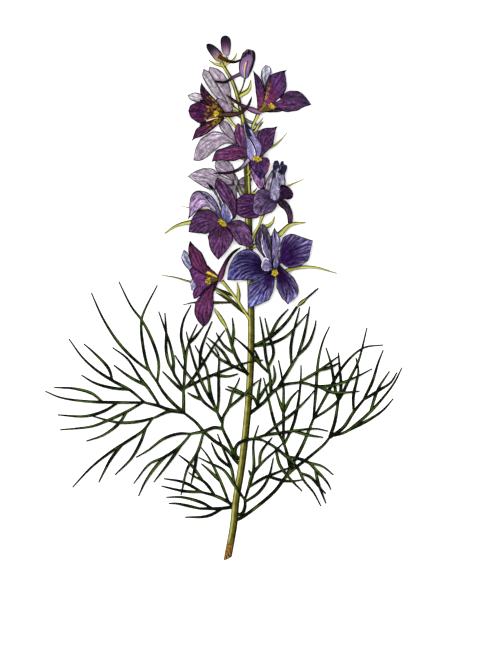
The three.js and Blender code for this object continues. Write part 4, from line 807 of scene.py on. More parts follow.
            "rise": (-3.6, -5.4, -6), "paint": ("8a82a0", "9a98b4", "c2c0d2", "e0def0"),
        }],
    },
    "tenth": {
        "at": (3, 76.5, 8.4),
        "face": (0, 0, 1),
        "slot": "sepal_lilac",
        "lines": (0.45, 0.65, 0.6),
        "spur": [(4.5, -4.5, -1), (11.5, -8, -1.5)],
        "spur_paint": ("a79db0", "8d8296"),
        "stamens": (0, 1, -4.2),
        "sepals": [{
            "one": [(-1.6, -0.7), (-5, 2.5), (-8, 5.9), (-10.2, 9.3), (-11.6, 12.5), (-11, 15.2)],
            "other": [(-0.8, 0.5), (-2.4, 3.7), (-4.6, 7.3), (-6.6, 10.9), (-8.6, 13.7)],
            "rise": (0, -2.4, -5), "paint": ("c6b8c8", "d2c8d4", "c4bac6", "8d7c90"),
        }, {
            "one": [(-0.8, -0.3), (-2.8, 3.3), (-5.2, 7.5), (-7.2, 11.1), (-9, 13.9), (-8.6, 16)],
            "other": [(0.4, 0.9), (0.1, 4.3), (-0.4, 8.1), (-2, 11.7), (-4.6, 14.6)],
            "rise": (0.2, -0.6, -2), "paint": BACK_ASH,
        }, {
            "one": [(-1.2, 0.1), (-6.8, 2.5), (-11.2, 4.7), (-14.4, 5.7), (-17.6, 4.6)],
            "other": [(-1.2, -1.1), (-6.8, -0.3), (-10.8, 1.1), (-14, 1.7), (-16.4, 2.7)],
            "rise": (-0.4, -5, -7.9), "paint": ("b4a2ac", "cabccc", "dcd8dc", "8d7c90"),
        }, {
            "via": (-5, -2, -4), "tip": (-10, -4, -7.9), "wide": 6, "paint": BACK_ASH,
        }, {
            "via": (-7, -5, -4), "tip": (-13, -9, -7.9), "wide": 5, "paint": BACK_ASH,
        }],
        "petals": [{
            "one": [(-0.8, 0.1), (-3.6, 2.7), (-5.6, 3.1), (-6, 1.3), (-4.2, -1.5), (-1.6, -2.9)],
            "other": [(0.4, 0.1), (0.8, -1.1), (0.2, -2.5)],
            "rise": (1.6, 2.2, 1.6), "paint": ("c8b4c8", "c4aac4", "b89cb4", "927c90"),
        }],
    },
}

# ---- Buds ----

# The bodies lie between two edges seen from above, which end at one tip, at the heights of base and tip.
BUDS = {
    "top": {
        "one": [(1, 96.4), (0.2, 97.4), (-0.8, 99), (-1.2, 101.4), (-1.2, 103.4), (-0.6, 104.4),
                (0.4, 104.6)],
        "other": [(1.4, 96.2), (2.4, 97), (2.8, 99), (3, 101.4), (2.8, 103), (1.8, 104.2)],
        "heights": (14, 15),
        "paint": ("f0cce0", "9a6892", "2a1c32"),
        "spur": [(1, 98, 13.6), (1, 99.5, 11.6), (0.8, 101.5, 10.6), (0.6, 103.5, 10.4)],
        "spur_paint": "7c5068",
        "stalk": [(0.4, 92, 13), (0.9, 94, 13.3), (1, 96, 13.9)],
        "bracts": [[(0.6, 93, 13.2), (4, 95, 13), (5.5, 98, 13)]],
    },
    "left": {
        "one": [(-1, 93.8), (-3.2, 94.6), (-5, 96.8), (-6.6, 99.2), (-7, 100.8), (-6.8, 101.2)],
        "other": [(-0.4, 94.2), (0, 96), (-1.6, 98.8), (-3.6, 100.6), (-5.4, 101.4)],
        "heights": (15.5, 17),
        "paint": ("f6d078", "b48eac", "262030"),
        "marks": [
            ((0, 0.36), (-1.2, 1.2), "pollen", 0.5),
            ((0.04, 0.44), (0, 0.4), "brown", 0.5),
            ((0.04, 0.4), (-0.6, -0.3), "brown", 0.5),
            ((0.3, 1.1), (0.5, 1.3), "black", 0.6),
        ],
        "spur_paint": "5a2c12",
        "spur": [(-2, 96.4, 17.6), (1.5, 94.6, 18), (4.5, 94, 18), (7, 95, 18)],
        "stalk": [(0.6, 91.4, 13.4), (0, 92.4, 14.6), (-0.8, 93.9, 15.4)],
        "bracts": [[(-0.2, 92.4, 14.8), (-3.5, 93.4, 14.2), (-6, 95, 14)]],
    },
    "right": {
        "one": [(8.4, 87.9), (7.4, 88.2), (6.2, 90.2), (6, 93), (7, 95.8), (7.8, 98), (9, 99.2),
                (10.2, 99.2)],
        "other": [(8.8, 87.7), (9.8, 87.6), (11, 90.2), (12.2, 93.4), (12.8, 95.8), (12.6, 97.8),
                  (11.4, 98.6)],
        "heights": (15, 16),
        "paint": ("8c7cb8", "b486b4", "8a6c98"),
        "marks": [
            ((0.25, 1.1), (0.7, 1.3), "black"),
            ((0.04, 0.58), (-0.06, 0.2), "brown"),
            ((0.06, 0.52), (-0.2, 0), "cream"),
            ((0.68, 1.1), (0.2, 0.5), "navy", 0.8),
            ((0.66, 1.1), (0.5, 1.3), "black"),
            ((0.74, 1), (-0.36, 0.14), "black"),
            ((0.66, 0.84), (-0.66, -0.3), "black"),
            ((0.6, 0.7), (-0.8, -0.56), "black"),
        ],
        "shade": 0.75,
        "slim": 0.6,
        "wide": (1.6,),
        "spur_paint": "6c4870",
        "spur": [(7.4, 89.6, 15.4), (4, 88, 16.6), (0.5, 86, 16.8), (-3.5, 86.4, 16.6)],
        "stalk": [(6, 80.5, 14.2), (7.6, 84, 14.6), (8.7, 88, 15)],
        "bracts": [[(6.4, 80.4, 14), (10, 83, 13), (11, 87, 12.5)]],
    },
}

GREEN_BUDS = {
    "left": {"base": (1.8, -13, 11), "tip": (-3.6, -4.4, 11.4), "wide": 1.8,
             "form": (0.3, 0.7, 1, 1, 0.8, 0.3), "shade": 0},
    "right": {"base": (29.6, -3.4, 7.2), "tip": (38, 3.8, 8), "wide": 1.8,
              "form": (0.4, 0.9, 1, 0.62, 0.5, 0.48, 0.48, 0.46, 0.3), "shade": 0.3},
}


# ---- Lines and surfaces ----

CURVE_STEPS = 15  # how many straight steps a curve takes from one point to the next


def smooth(points, count):
    """A centripetal Catmull-Rom curve through the points, as count + 1 evenly spaced ones."""
    p = np.array(points, float)
    p = np.vstack([2 * p[0] - p[1], p, 2 * p[-1] - p[-2]])
    t = np.linspace(0, 1, CURVE_STEPS + 1)[:, None]
    fine = [p[1][None]]
    for a, b, c, d in zip(p, p[1:], p[2:], p[3:]):
        gaps = [np.linalg.norm(y - x) for x, y in ((a, b), (b, c), (c, d))]
        before, during, after = (max(gap, 1e-4) ** 0.5 for gap in gaps)
        leave = ((b - a) / before - (c - a) / (before + during)) * during + c - b
        arrive = ((d - c) / after - (d - b) / (during + after)) * during + c - b
        curve = (
            (2 * t**3 - 3 * t**2 + 1) * b + (t**3 - 2 * t**2 + t) * leave
            + (3 * t**2 - 2 * t**3) * c + (t**3 - t**2) * arrive
        )
        fine.append(curve[1:])
    fine = np.vstack(fine)
    reach = travelled(fine)
    even = np.linspace(0, reach[-1], count + 1)
    return np.stack([np.interp(even, reach, column) for column in fine.T], axis=1)


def travelled(points):
    """The distance along a line to each of its points."""
    return np.concatenate([[0], np.cumsum(np.linalg.norm(np.diff(points, axis=0), axis=1))])


def spread(values, count):
    """Evenly spaced values, filled in to count + 1 of them."""
    return np.interp(np.linspace(0, 1, count + 1), np.linspace(0, 1, len(values)), values)


def unit(vectors):
    """Vectors of the same direction, one long."""
    return vectors / np.maximum(np.linalg.norm(vectors, axis=-1, keepdims=True), 1e-9)


def bow(rise, along):
    """A height that passes through three values, at the foot, the middle and the tip."""
    foot, middle, tip = rise
    near, far = foot * (1 - along) * (1 - 2 * along), tip * along * (2 * along - 1)
    return near + 4 * middle * along * (1 - along) + far


def window(value, span, soft):
    """1 inside a span and 0 outside it, with soft ends."""
    low, high = span
    return np.clip((value - low) / soft + 0.5, 0, 1) * np.clip((high - value) / soft + 0.5, 0, 1)


MARK_ENDS = 0.06  # how soft a mark's ends are, as a share of the sheet's length
MARK_SIDES = 0.16  # how soft its sides are, as a share of half the sheet's width
STREAKY = 2.5  # how many times softer a mark is that breaks up into streaks


def painted(along, across, marks):
    """How strongly each point of a sheet or a bud is marked, and the ink there."""
    mark, ink = np.zeros(along.shape), np.zeros((*along.shape, 3))
    for run, width, name, *strength in marks:
        strong = (strength or [1])[0]
        soft = 1 if strong == 1 else STREAKY
        here = window(along, run, MARK_ENDS * soft) * window(across, width, MARK_SIDES * soft) * strong
        cover = np.clip(here * 4, 0, 1)[..., None]
        mark = np.where(here > 0, np.maximum(here, mark * (1 - here)), mark)
        ink = ink * (1 - cover) + linear(INKS[name]) * cover
    return mark, ink


def linear(code):
    """A colour code's red, green and blue as light."""
    shares = np.array([int(code[i:i + 2], 16) for i in (0, 2, 4)]) / 255
    return np.where(shares > 0.04045, ((shares + 0.055) / 1.055) ** 2.4, shares / 12.92)


WELD = 0.002  # points nearer to each other than this become one


class Shape:
    """Points, faces and painted values that are gathered into one mesh."""

    def __init__(self):
        self.points, self.faces, self.values, self.count = [], [], {}, 0

    def add(self, points, faces, **values):
        """points is n by 3, and each value is a number or a colour for each point or for all."""
        size = len(points)
        self.points.append(points)
        self.faces += [tuple(corner + self.count for corner in face) for face in faces]
        for name, value in values.items():
            value = np.asarray(value, float)
            full = (size,) if value.ndim == 0 or value.shape == (size,) else (size, 3)
            self.values.setdefault(name, []).append(np.broadcast_to(value, full))
        self.count += size

    def piece(self, name, *skins):
        """The mesh as an object, welded, with its faces pointing outwards."""
        mesh = bpy.data.meshes.new(name)
        mesh.from_pydata((np.vstack(self.points) * MM).tolist(), [], self.faces)
        for value, parts in self.values.items():
            paint(mesh, value, np.concatenate(parts))
        body = bmesh.new()
        body.from_mesh(mesh)
        bmesh.ops.remove_doubles(body, verts=body.verts, dist=WELD * MM)
        bmesh.ops.recalc_face_normals(body, faces=body.faces)
        body.to_mesh(mesh)
        body.free()
        mesh.shade_smooth()
        return shown(name, mesh, *skins)


def paint(mesh, name, values):
    """Stores a number or a colour for each point of a mesh."""
    if values.ndim == 1:
        layer = mesh.attributes.new(name, "FLOAT", "POINT")
        layer.data.foreach_set("value", values.astype(np.float32))
        return
    full = np.hstack([values, np.ones((len(values), 1))])
    layer = mesh.attributes.new(name, "FLOAT_COLOR", "POINT")
    layer.data.foreach_set("color", full.astype(np.float32).ravel())


def shown(name, mesh, *skins):
    """A mesh as an object of the scene."""
    for skin in skins:
        mesh.materials.append(skin)
    piece = bpy.data.objects.new(name, mesh)
    bpy.context.scene.collection.objects.link(piece)
    return piece


def grid_faces(rows, columns, closed=False):
    """The faces of a grid of rows by columns points; closed joins its last column to its first."""
    faces = []
    for row in range(rows - 1):
        for column in range(columns if closed else columns - 1):
            beside = (column + 1) % columns
            low, high = row * columns, (row + 1) * columns
            faces.append((low + column, low + beside, high + beside, high + column))
    return faces


# ---- Sheets: sepals and petals ----

SHEET_ROWS = 44
SHEET_COLUMNS = 26
# how thick a sheet is, how much its sides rise, and how strong the ripples and waves of its margin are
SEPAL = {"thick": 0.36, "cup": 0.1, "ripple": 0.22, "wave": 0.018}
PETAL = {"thick": 0.3, "cup": 0.42, "ripple": 0.08, "wave": 0.01}
PETAL_LINES = (0.6, 0.5, 0.7)  # what lines is for a calyx
BLADE_SHARES = [0.12, 0.35, 0.72, 0.98, 1, 0.86, 0.55, 0.02]  # a plain blade's width from foot to tip
FAN_ROOT = 1.5  # the veins spread from a point this far below a sheet's foot
GOLDEN_ANGLE = 2.4  # in radians: sheets and filaments that follow each other turn by it
FOLD = 0.12  # how high the folds between the veins are
GROOVE = 0.22  # how deep the groove along the middle of a sheet is
GROOVE_WIDE = 0.45


def blade_edges(via, tip, wide):
    """The two edges of a plain blade that runs from the receptacle through via to tip."""
    count = len(BLADE_SHARES) - 1
    middle = smooth([(0, 0), via[:2], tip[:2]], count)
    heading = unit(np.gradient(middle, axis=0))
    side = np.stack([-heading[:, 1], heading[:, 0]], axis=1)
    half = np.array(BLADE_SHARES)[:, None] * wide / 2
    return middle + side * half, middle - side * half


def sheet(shape, part, face, build, lines, phase):
    """Adds one thin sepal or petal, thinning to nothing at its margin."""
    if "via" in part:
        one, other = blade_edges(part["via"], part["tip"], part["wide"])
        rise = (0, part["via"][2], part["tip"][2])
    else:
        one, rise = part["one"], part["rise"]
        other = [*part["other"], one[-1]]
    one, other = smooth(one, SHEET_ROWS), smooth(other, SHEET_ROWS)
    middle = (one + other) / 2
    reach = travelled(middle)
    half = np.linalg.norm(other - one, axis=1)[:, None] / 2
    along = (reach / reach[-1])[:, None]
    across = np.sin(np.linspace(-0.5, 0.5, SHEET_COLUMNS + 1) * np.pi)[None, :]
    bulge = np.sin(along * np.pi)
    wavy = 1 + build["wave"] * (np.sin(along * 17 + phase) + np.sin(along * 31 + 2 * phase)) * bulge
    plan = middle[:, None] + (other - one)[:, None] / 2 * (across * wavy)[..., None]
    fan = across * half / (reach[:, None] + FAN_ROOT)
    lean = -((plan - middle[:, None]) @ np.array(face[:2])) / face[2]
    folds = FOLD * np.cos(fan * 22 + phase) * np.sqrt(along) * (1 - across**2)
    ripple = build["ripple"] * across**2 * np.sin(along * 13 + across * 1.5 + phase) * bulge
    groove = -GROOVE * np.exp(-((across * half / GROOVE_WIDE) ** 2)) * bulge
    lift = bow(rise, along) + lean + build["cup"] * half * across**2 + folds + ripple + groove
    place = np.concatenate([plan, lift[..., None]], axis=2)
    normal = unit(np.cross(np.gradient(place, axis=0), np.gradient(place, axis=1)))
    normal *= np.where(normal[..., 2:] < 0, -1, 1)
    ends = np.clip(along * 10, 0, 1) * np.clip((1 - along) * 10, 0, 1)
    thick = build["thick"] / 2 * np.sqrt(1 - across**2) * np.sqrt(ends)
    edge = np.minimum((1 - np.abs(across)) * half, (1 - along) * reach[-1])
    full = np.zeros(fan.shape)
    mark, ink = painted(along + full, across + full, part.get("marks", []))
    strokes, veins, depth = lines
    values = {
        "along": along + full,
        "across": across + full,
        "fan": fan + phase,
        "reach": reach[:, None] + full,
        "edge": edge,
        "mark": mark,
    }
    colours = dict(zip(("heart", "blade", "tip", "gleam"), part["paint"]))
    rows, columns = fan.shape
    for side in (1, -1):
        shape.add(
            (place + normal * (side * thick)[..., None]).reshape(-1, 3),
            grid_faces(rows, columns),
            **{name: value.ravel() for name, value in values.items()},
            **{name: linear(code) for name, code in colours.items()},
            ink=ink.reshape(-1, 3),
            middle=phase,
            turn=part.get("turn", 0.35),
            strokes=strokes,
            veins=veins,
            depth=depth,
        )


# ---- Node trees ----

def add_node(tree, kind, settings=None, inputs=None):
    """A node with its settings made first, then its sockets filled with values or links."""
    node = tree.nodes.new(kind)
    for name, value in (settings or {}).items():
        setattr(node, name, value)
    for name, value in (inputs or {}).items():
        socket = node.inputs[name]
        value = getattr(value, "socket", value)
        if isinstance(value, bpy.types.NodeSocket):
            tree.links.new(value, socket)
        else:
            socket.default_value = value
    return node


class Wire:
    """A number in a material. Working with wires adds Math nodes to the skin that they belong to."""

    def __init__(self, skin, socket):
        self.skin, self.socket = skin, socket

    def __add__(self, other):
        return self.skin.math("ADD", self, other)

    def __sub__(self, other):
        return self.skin.math("SUBTRACT", self, other)

    def __rsub__(self, other):
        return self.skin.math("SUBTRACT", other, self)

    def __mul__(self, other):
        return self.skin.math("MULTIPLY", self, other)

    def __abs__(self):
        return self.skin.math("ABSOLUTE", self)

    __radd__ = __add__


TONE = 0.76  # how deep all the colours of the plant are
DULL = 0.02  # how much a matt surface mirrors
RELIEF = 0.0002  # how deep the relief of most surfaces is, in metres


class Skin:
    """A material that is put together node by node."""

    def __init__(self, name):
        self.material = bpy.data.materials.new(name)
        self.material.use_nodes = True
        self.tree = self.material.node_tree
        self.tree.nodes.clear()

    def node(self, kind, settings=None, inputs=None):
        """A node of this material."""
        return add_node(self.tree, kind, settings, inputs)

    def math(self, operation, *values):
        """A number worked out from others."""
        node = self.node("ShaderNodeMath", {"operation": operation}, dict(enumerate(values)))
        return Wire(self, node.outputs[0])

    def value(self, name):
        """A number painted on the mesh."""
        return Wire(self, self.node("ShaderNodeAttribute", {"attribute_name": name}).outputs["Fac"])

    def colour(self, name):
        """A colour painted on the mesh."""
        return self.node("ShaderNodeAttribute", {"attribute_name": name}).outputs["Color"]

    def vector(self, x, y, z):
        """Three numbers as one vector."""
        return self.node("ShaderNodeCombineXYZ", None, {0: x, 1: y, 2: z}).outputs[0]

    def step(self, low, high, value):
        """0 below low, 1 above high, and a soft step between; the other way round if low is higher."""
        node = self.node(
            "ShaderNodeMapRange",
            {"interpolation_type": "SMOOTHSTEP"},
            {"Value": value, "From Min": low, "From Max": high},
        )
        return Wire(self, node.outputs["Result"])

    def noise(self, vector, scale, detail):
        """A cloudy number between 0 and 1."""
        node = self.node("ShaderNodeTexNoise", None, {"Vector": vector, "Scale": scale, "Detail": detail})
        return Wire(self, node.outputs["Fac"])

    def mottling(self, scale, detail):
        """A cloudy number of the point on the plant, with so many clouds to the metre."""
        return self.noise(self.node("ShaderNodeTexCoord").outputs["Object"], scale, detail)

    def mix(self, share, a, b):
        """Colour a turning into colour b as share goes from 0 to 1."""
        a, b = ((*linear(c), 1.0) if isinstance(c, str) else c for c in (a, b))
        return self.node("ShaderNodeMix", {"data_type": "RGBA"}, {0: share, 6: a, 7: b}).outputs[2]

    def dim(self, colour, strength):
        """A colour made darker or lighter by a number."""
        node = self.node("ShaderNodeVectorMath", {"operation": "SCALE"}, {0: colour, "Scale": strength})
        return node.outputs[0]

    def finish(self, colour, roughness, relief, depth, **constants):
        """The surface: its colour, its roughness, and a relief of so many metres."""
        bump = self.node("ShaderNodeBump", None, {"Height": relief, "Distance": depth, "Strength": 1.0})
        inputs = {"Base Color": self.dim(colour, TONE), "Roughness": roughness, "Normal": bump.outputs[0]}
        inputs.update({name.replace("_", " "): value for name, value in constants.items()})
        surface = self.node("ShaderNodeBsdfPrincipled", None, inputs)
        self.node("ShaderNodeOutputMaterial", None, {"Surface": surface.outputs[0]})
        return self.material


LANES = 10  # how many veins there are where a sheet is as wide as it is long


def veined_skin():
    """Sepals and petals: dark at the foot, with light strokes between dark veins that fan out from it."""
    skin = Skin("veined_skin")
    along, across = skin.value("along"), abs(skin.value("across"))
    fan, reach, edge = skin.value("fan"), skin.value("reach"), skin.value("edge")
    streaks = skin.step(0.32, 0.68, skin.noise(skin.vector(fan * 20, reach * 0.2, 0), 1, 2))
    cloud = skin.mottling(190, 3)
    speck = skin.step(0.36, 0.64, skin.mottling(900, 2))
    patch = skin.step(0.48, 0.68, skin.mottling(420, 2))
    wander = (skin.noise(skin.vector(fan * 2, reach * 0.35, 3), 1, 2) - 0.5) * 0.08
    lane = (fan + wander) * LANES
    beside = abs(skin.math("FRACT", lane) - 0.5) * 2
    own = skin.noise(skin.vector(skin.math("FLOOR", lane) * 3.7, reach * 0.14, 7), 1, 1)
    between = abs(skin.math("FRACT", lane * 2) - 0.5) * 2
    reached = along + across * across * 0.2
    start = skin.value("turn")
    thin = skin.step(0.55, 0.05, beside) * skin.step(0.25, 0.7, own)
    faint = skin.step(0.7, 0.1, between) * skin.step(0.4, 0.8, streaks) * 0.5
    stroke = skin.math("MAXIMUM", thin, faint) * skin.step(-0.14, 0.3, reached - start)
    # rim is a painted highlight along the margin, in the colour of the strokes
    rim = skin.step(1.3, 0.3, edge) * skin.step(0.1, 0.5, along) * (0.3 + streaks * 0.7)
    vein = skin.step(0.6, 1, beside)
    from_rib = abs(fan - skin.value("middle")) * (reach + FAN_ROOT)
    rib = skin.step(0.34, 0.08, from_rib) * skin.step(1, 0.8, along)
    drawn = skin.math("MAXIMUM", vein, rib) * skin.value("veins")
    early = skin.step(-0.26, 0.26, reached - start + (streaks - 0.5) * 0.3)
    colour = skin.mix(early, skin.colour("heart"), skin.colour("blade"))
    margin = skin.step(1.7, 0.4, edge) * skin.step(0.05, 0.35, along) * 0.55
    far = skin.step(0.62, 1, along + (streaks - 0.5) * 0.2)
    beyond = skin.math("MAXIMUM", skin.math("MAXIMUM", far, margin), patch * early * 0.5)
    colour = skin.mix(beyond, colour, skin.colour("tip"))
    light = skin.math("MAXIMUM", stroke, rim * 0.75) * skin.value("strokes")
    colour = skin.mix(light, colour, skin.colour("gleam"))
    tone = streaks * 0.48 + skin.step(0.3, 0.7, cloud) * 0.2 + speck * 0.32
    shade = (0.66 + (tone * tone * 2.3 - 0.48) * skin.value("depth")) * (1 - drawn * 0.72)
    outline = skin.step(0.6, 0.28, edge) * (0.5 + skin.value("depth") * 0.5)
    colour = skin.dim(colour, shade * (1 - outline))
    mark = skin.step(0.1, 0.7, skin.value("mark") * 2 - 1.1 + streaks * 0.6 + speck * 0.6)
    colour = skin.mix(mark, colour, skin.dim(skin.colour("ink"), 0.45 + streaks * 0.35 + speck * 0.35))
    relief = stroke * 0.4 - drawn * 0.6 + streaks * 0.4 + cloud * 0.4
    return skin.finish(colour, 0.55 + cloud * 0.2, relief, RELIEF, Specular_IOR_Level=DULL)


def thread_skin(name, shadow, body, light, lit):
    """Leaves and stalks: almost black painted shade on both edges, and painted highlights in places on top.
    """
    skin = Skin(name)
    around, thick = skin.value("around"), skin.value("thick")
    mottle = skin.mottling(520, 3)
    patch = skin.mottling(150, 2)
    lean = (skin.math("ROUND", skin.value("tint")) - 0.5) * 0.08
    aside = abs(around - 0.25 + lean) + (patch - 0.5) * 0.06
    stout = skin.step(0.0003, 0.0006, thick)
    # painted shade along both edges of the thread
    colour = skin.mix(skin.step(0.17, 0.09, aside), shadow, body)
    # a painted highlight along the top, fuller on stout threads, where patch falls within lit
    top_highlight = skin.step(0.12, 0.04, aside) * (0.25 + stout * 0.75) * skin.step(*lit, patch)
    colour = skin.mix(top_highlight * (0.5 + mottle * 0.5), colour, light)
    colour = skin.mix(skin.value("shade"), colour, shadow)
    colour = skin.dim(colour, 0.6 + mottle * 0.4)
    return skin.finish(colour, 0.5 + mottle * 0.2, mottle, RELIEF, Specular_IOR_Level=DULL)


def spur_skin():
    """Spurs: one colour at the mouth, another at the tip, and almost black painted shade on both edges."""
    skin = Skin("spur_skin")
    along, around = skin.value("along"), skin.value("around")
    mottle = skin.mottling(700, 3)
    turn = skin.step(0.16, 0.6, along + (mottle - 0.5) * 0.2)
    colour = skin.mix(turn, skin.colour("near"), skin.colour("far"))
    colour = skin.dim(colour, 0.6 + mottle * 0.5)
    # painted shade, almost black, along both sides of the spur
    shaded_flank = skin.step(0.06, 0.13, abs(around - 0.25) + (mottle - 0.5) * 0.04)
    colour = skin.mix(shaded_flank * 0.95, colour, "0c040c")
    return skin.finish(colour, 0.5 + mottle * 0.15, mottle, RELIEF, Specular_IOR_Level=DULL)


def stem_skin():
    """The stem: a wandering painted highlight, painted shade on both sides, and a brown mottled cut end."""
    skin = Skin("stem_skin")
    along, around, cut = skin.value("along"), skin.value("around"), skin.value("cut")
    grain = skin.noise(skin.vector(around * 40, along * 60, 0), 1, 3)
    mottle = skin.mottling(420, 3)
    fleck = skin.step(0.6, 0.68, skin.mottling(700, 2))
    turned = around + (grain - 0.5) * 0.05
    colour = skin.mix(skin.step(0.35, 0.65, grain * 0.5 + mottle * 0.5), "3e3c0c", "6c6a1e")
    colour = skin.mix(fleck * 0.6, colour, "4c3008")
    # on two stretches of the stem, aside moves the painted highlight and the painted shade to the right and
    # darkens the stem
    aside = skin.step(0.69, 0.74, along) - skin.step(0.82, 0.87, along) * 0.6
    from_highlight = abs(turned - 0.34 + aside * 0.155) * (1 + aside * 0.4)
    colour = skin.dim(colour, 1 - aside * 0.3)
    # a painted highlight a little left of the top
    colour = skin.mix(skin.step(0.08, 0.02, from_highlight) * (0.35 + mottle), colour, "c8c66c")
    # painted shade, almost black, along the right side
    colour = skin.mix(skin.step(0.19, 0.11, turned + aside * 0.03), colour, "0e0c02")
    # a thin band of painted shade along the left side
    colour = skin.mix(skin.step(0.42, 0.48, turned) * skin.step(0.62, 0.54, turned), colour, "201e05")
    scar = skin.step(0.045, 0.02, along + (mottle - 0.5) * 0.02)
    burnt = skin.mix(skin.step(0.45, 0.62, skin.mottling(1300, 2)), "a87c34", "2e1806")
    colour = skin.mix(scar * skin.step(0.08, 0.2, around), colour, burnt)
    colour = skin.mix(cut, colour, "a98a4c")
    colour = skin.dim(colour, (0.7 + mottle * 0.4) * (0.82 + along * 0.26))
    return skin.finish(colour, 0.5 + grain * 0.2, grain, 0.0003, Specular_IOR_Level=0.03)


def bud_skin():
    """Buds: pale base, mauve body, dark towards the tip; painted shade on the sides, the far end and in the
    seams.
    """
    skin = Skin("bud_skin")
    along, seam, side = skin.value("along"), skin.value("seam"), skin.value("side")
    mottle = skin.mottling(700, 3)
    streaks = skin.step(0.3, 0.7, skin.noise(skin.vector(side * 13, along * 1.6, 0), 1, 2))
    grown_up = skin.step(0.1, 0.46, along + (streaks - 0.5) * 0.25)
    colour = skin.mix(grown_up, skin.colour("base"), skin.colour("body"))
    colour = skin.mix(skin.step(0.4, 0.66, along + (streaks - 0.5) * 0.4), colour, skin.colour("tip"))
    # streaks and mottle vary the tone, and the seams between the sepals get painted shade
    colour = skin.dim(colour, (0.16 + streaks * 0.8 + mottle * 0.44) * (1 - seam * 0.5))
    # painted shade, almost black, along both sides and over the far end
    edge = skin.math("MAXIMUM", skin.step(0.6, 0.92, abs(side)), skin.step(0.93, 1, along))
    colour = skin.mix(edge * 0.9, colour, "120a14")
    mark = skin.step(0, 1, skin.value("mark") * 2 - 1 + streaks)
    colour = skin.mix(mark, colour, skin.colour("ink"))
    return skin.finish(colour, 0.5 + mottle * 0.2, mottle + streaks, RELIEF, Specular_IOR_Level=DULL)


def green_skin():
    """Green buds: pale in the middle, almost black painted shade on the sides, and past the middle if
    shaded.
    """
    skin = Skin("green_skin")
    along, side, shade = skin.value("along"), abs(skin.value("side")), skin.value("shade")
    mottle = skin.mottling(900, 3)
    colour = skin.mix(skin.step(0.3, 0.7, mottle), "8c8c30", "c2c46a")
    # painted shade, almost black, along both sides, reaching further in on a bud with shade
    colour = skin.mix(skin.step(0.3, 0.8, side + (mottle - 0.5) * 0.4 + shade), colour, "12140a")
    # a bud with shade goes almost black from its middle to its tip
    colour = skin.mix(skin.step(0.3, 0.5, along) * skin.step(0, 0.1, shade), colour, "0c0e04")
    return skin.finish(colour, 0.5 + mottle * 0.2, mottle, RELIEF, Specular_IOR_Level=DULL)


def anther_skin():
    """Yellow anthers, dusty with pollen, on paler filaments."""
    skin = Skin("anther_skin")
    dust = skin.mottling(2600, 4)
    yellow = skin.mix(skin.step(0.4, 0.58, dust), "4a3a06", "e6ca30")
    colour = skin.mix(skin.value("pollen"), "5e5018", yellow)
    return skin.finish(colour, 0.6 + dust * 0.2, dust, 0.0001, Specular_IOR_Level=0.15)


# ---- Geometry nodes ----

def add_math(tree, operation, first, second):
    """A number worked out in a tree."""
    return add_node(tree, "ShaderNodeMath", {"operation": operation}, {0: first, 1: second}).outputs[0]


def circle(tree, sides):
    """A ring with a radius of 1, as a profile for tubes."""
    inputs = {"Resolution": sides, "Radius": 1.0}
    return add_node(tree, "GeometryNodeCurvePrimitiveCircle", None, inputs).outputs["Curve"]


def new_tree(name, sizes):
    """A tree from mesh to mesh, with a named input for each size and for the skin."""
    tree = bpy.data.node_groups.new(name, "GeometryNodeTree")
    tree.interface.new_socket("Geometry", in_out="INPUT", socket_type="NodeSocketGeometry")
    for size, kind in sizes.items():
        tree.interface.new_socket(size, in_out="INPUT", socket_type=kind)
    tree.interface.new_socket("Skin", in_out="INPUT", socket_type="NodeSocketMaterial")
    tree.interface.new_socket("Geometry", in_out="OUTPUT", socket_type="NodeSocketGeometry")
    return tree, add_node(tree, "NodeGroupInput").outputs


def named(tree, name):
    """A number stored on the points."""
    settings = {"data_type": "FLOAT"}
    return add_node(tree, "GeometryNodeInputNamedAttribute", settings, {"Name": name}).outputs["Attribute"]


def store(tree, geometry, name, value):
    """The geometry with a number stored on its points."""
    settings = {"data_type": "FLOAT", "domain": "POINT"}
    inputs = {"Geometry": geometry, "Name": name, "Value": value}
    return add_node(tree, "GeometryNodeStoreNamedAttribute", settings, inputs).outputs["Geometry"]


def tubes_along(tree, lines, profile):
    """Tubes along the edges of a mesh, as thick as its attribute thick says."""
    curves = add_node(tree, "GeometryNodeMeshToCurve", None, {"Mesh": lines}).outputs[0]
    curves = add_node(tree, "GeometryNodeSetCurveNormal", {"mode": "Z_UP"}, {"Curve": curves}).outputs[0]
    inputs = {"Curve": curves, "Profile Curve": profile, "Scale": named(tree, "thick"), "Fill Caps": True}
    return add_node(tree, "GeometryNodeCurveToMesh", None, inputs).outputs[0]


def ended(tree, geometry, skin):
    """The end of a tree: smooth faces, real copies and the skin."""
    smoothed = add_node(tree, "GeometryNodeSetShadeSmooth", None, {"Geometry": geometry}).outputs[0]
    real = add_node(tree, "GeometryNodeRealizeInstances", None, {"Geometry": smoothed}).outputs[0]
    done = add_node(tree, "GeometryNodeSetMaterial", None, {"Geometry": real, "Material": skin}).outputs[0]
    add_node(tree, "NodeGroupOutput", None, {"Geometry": done})


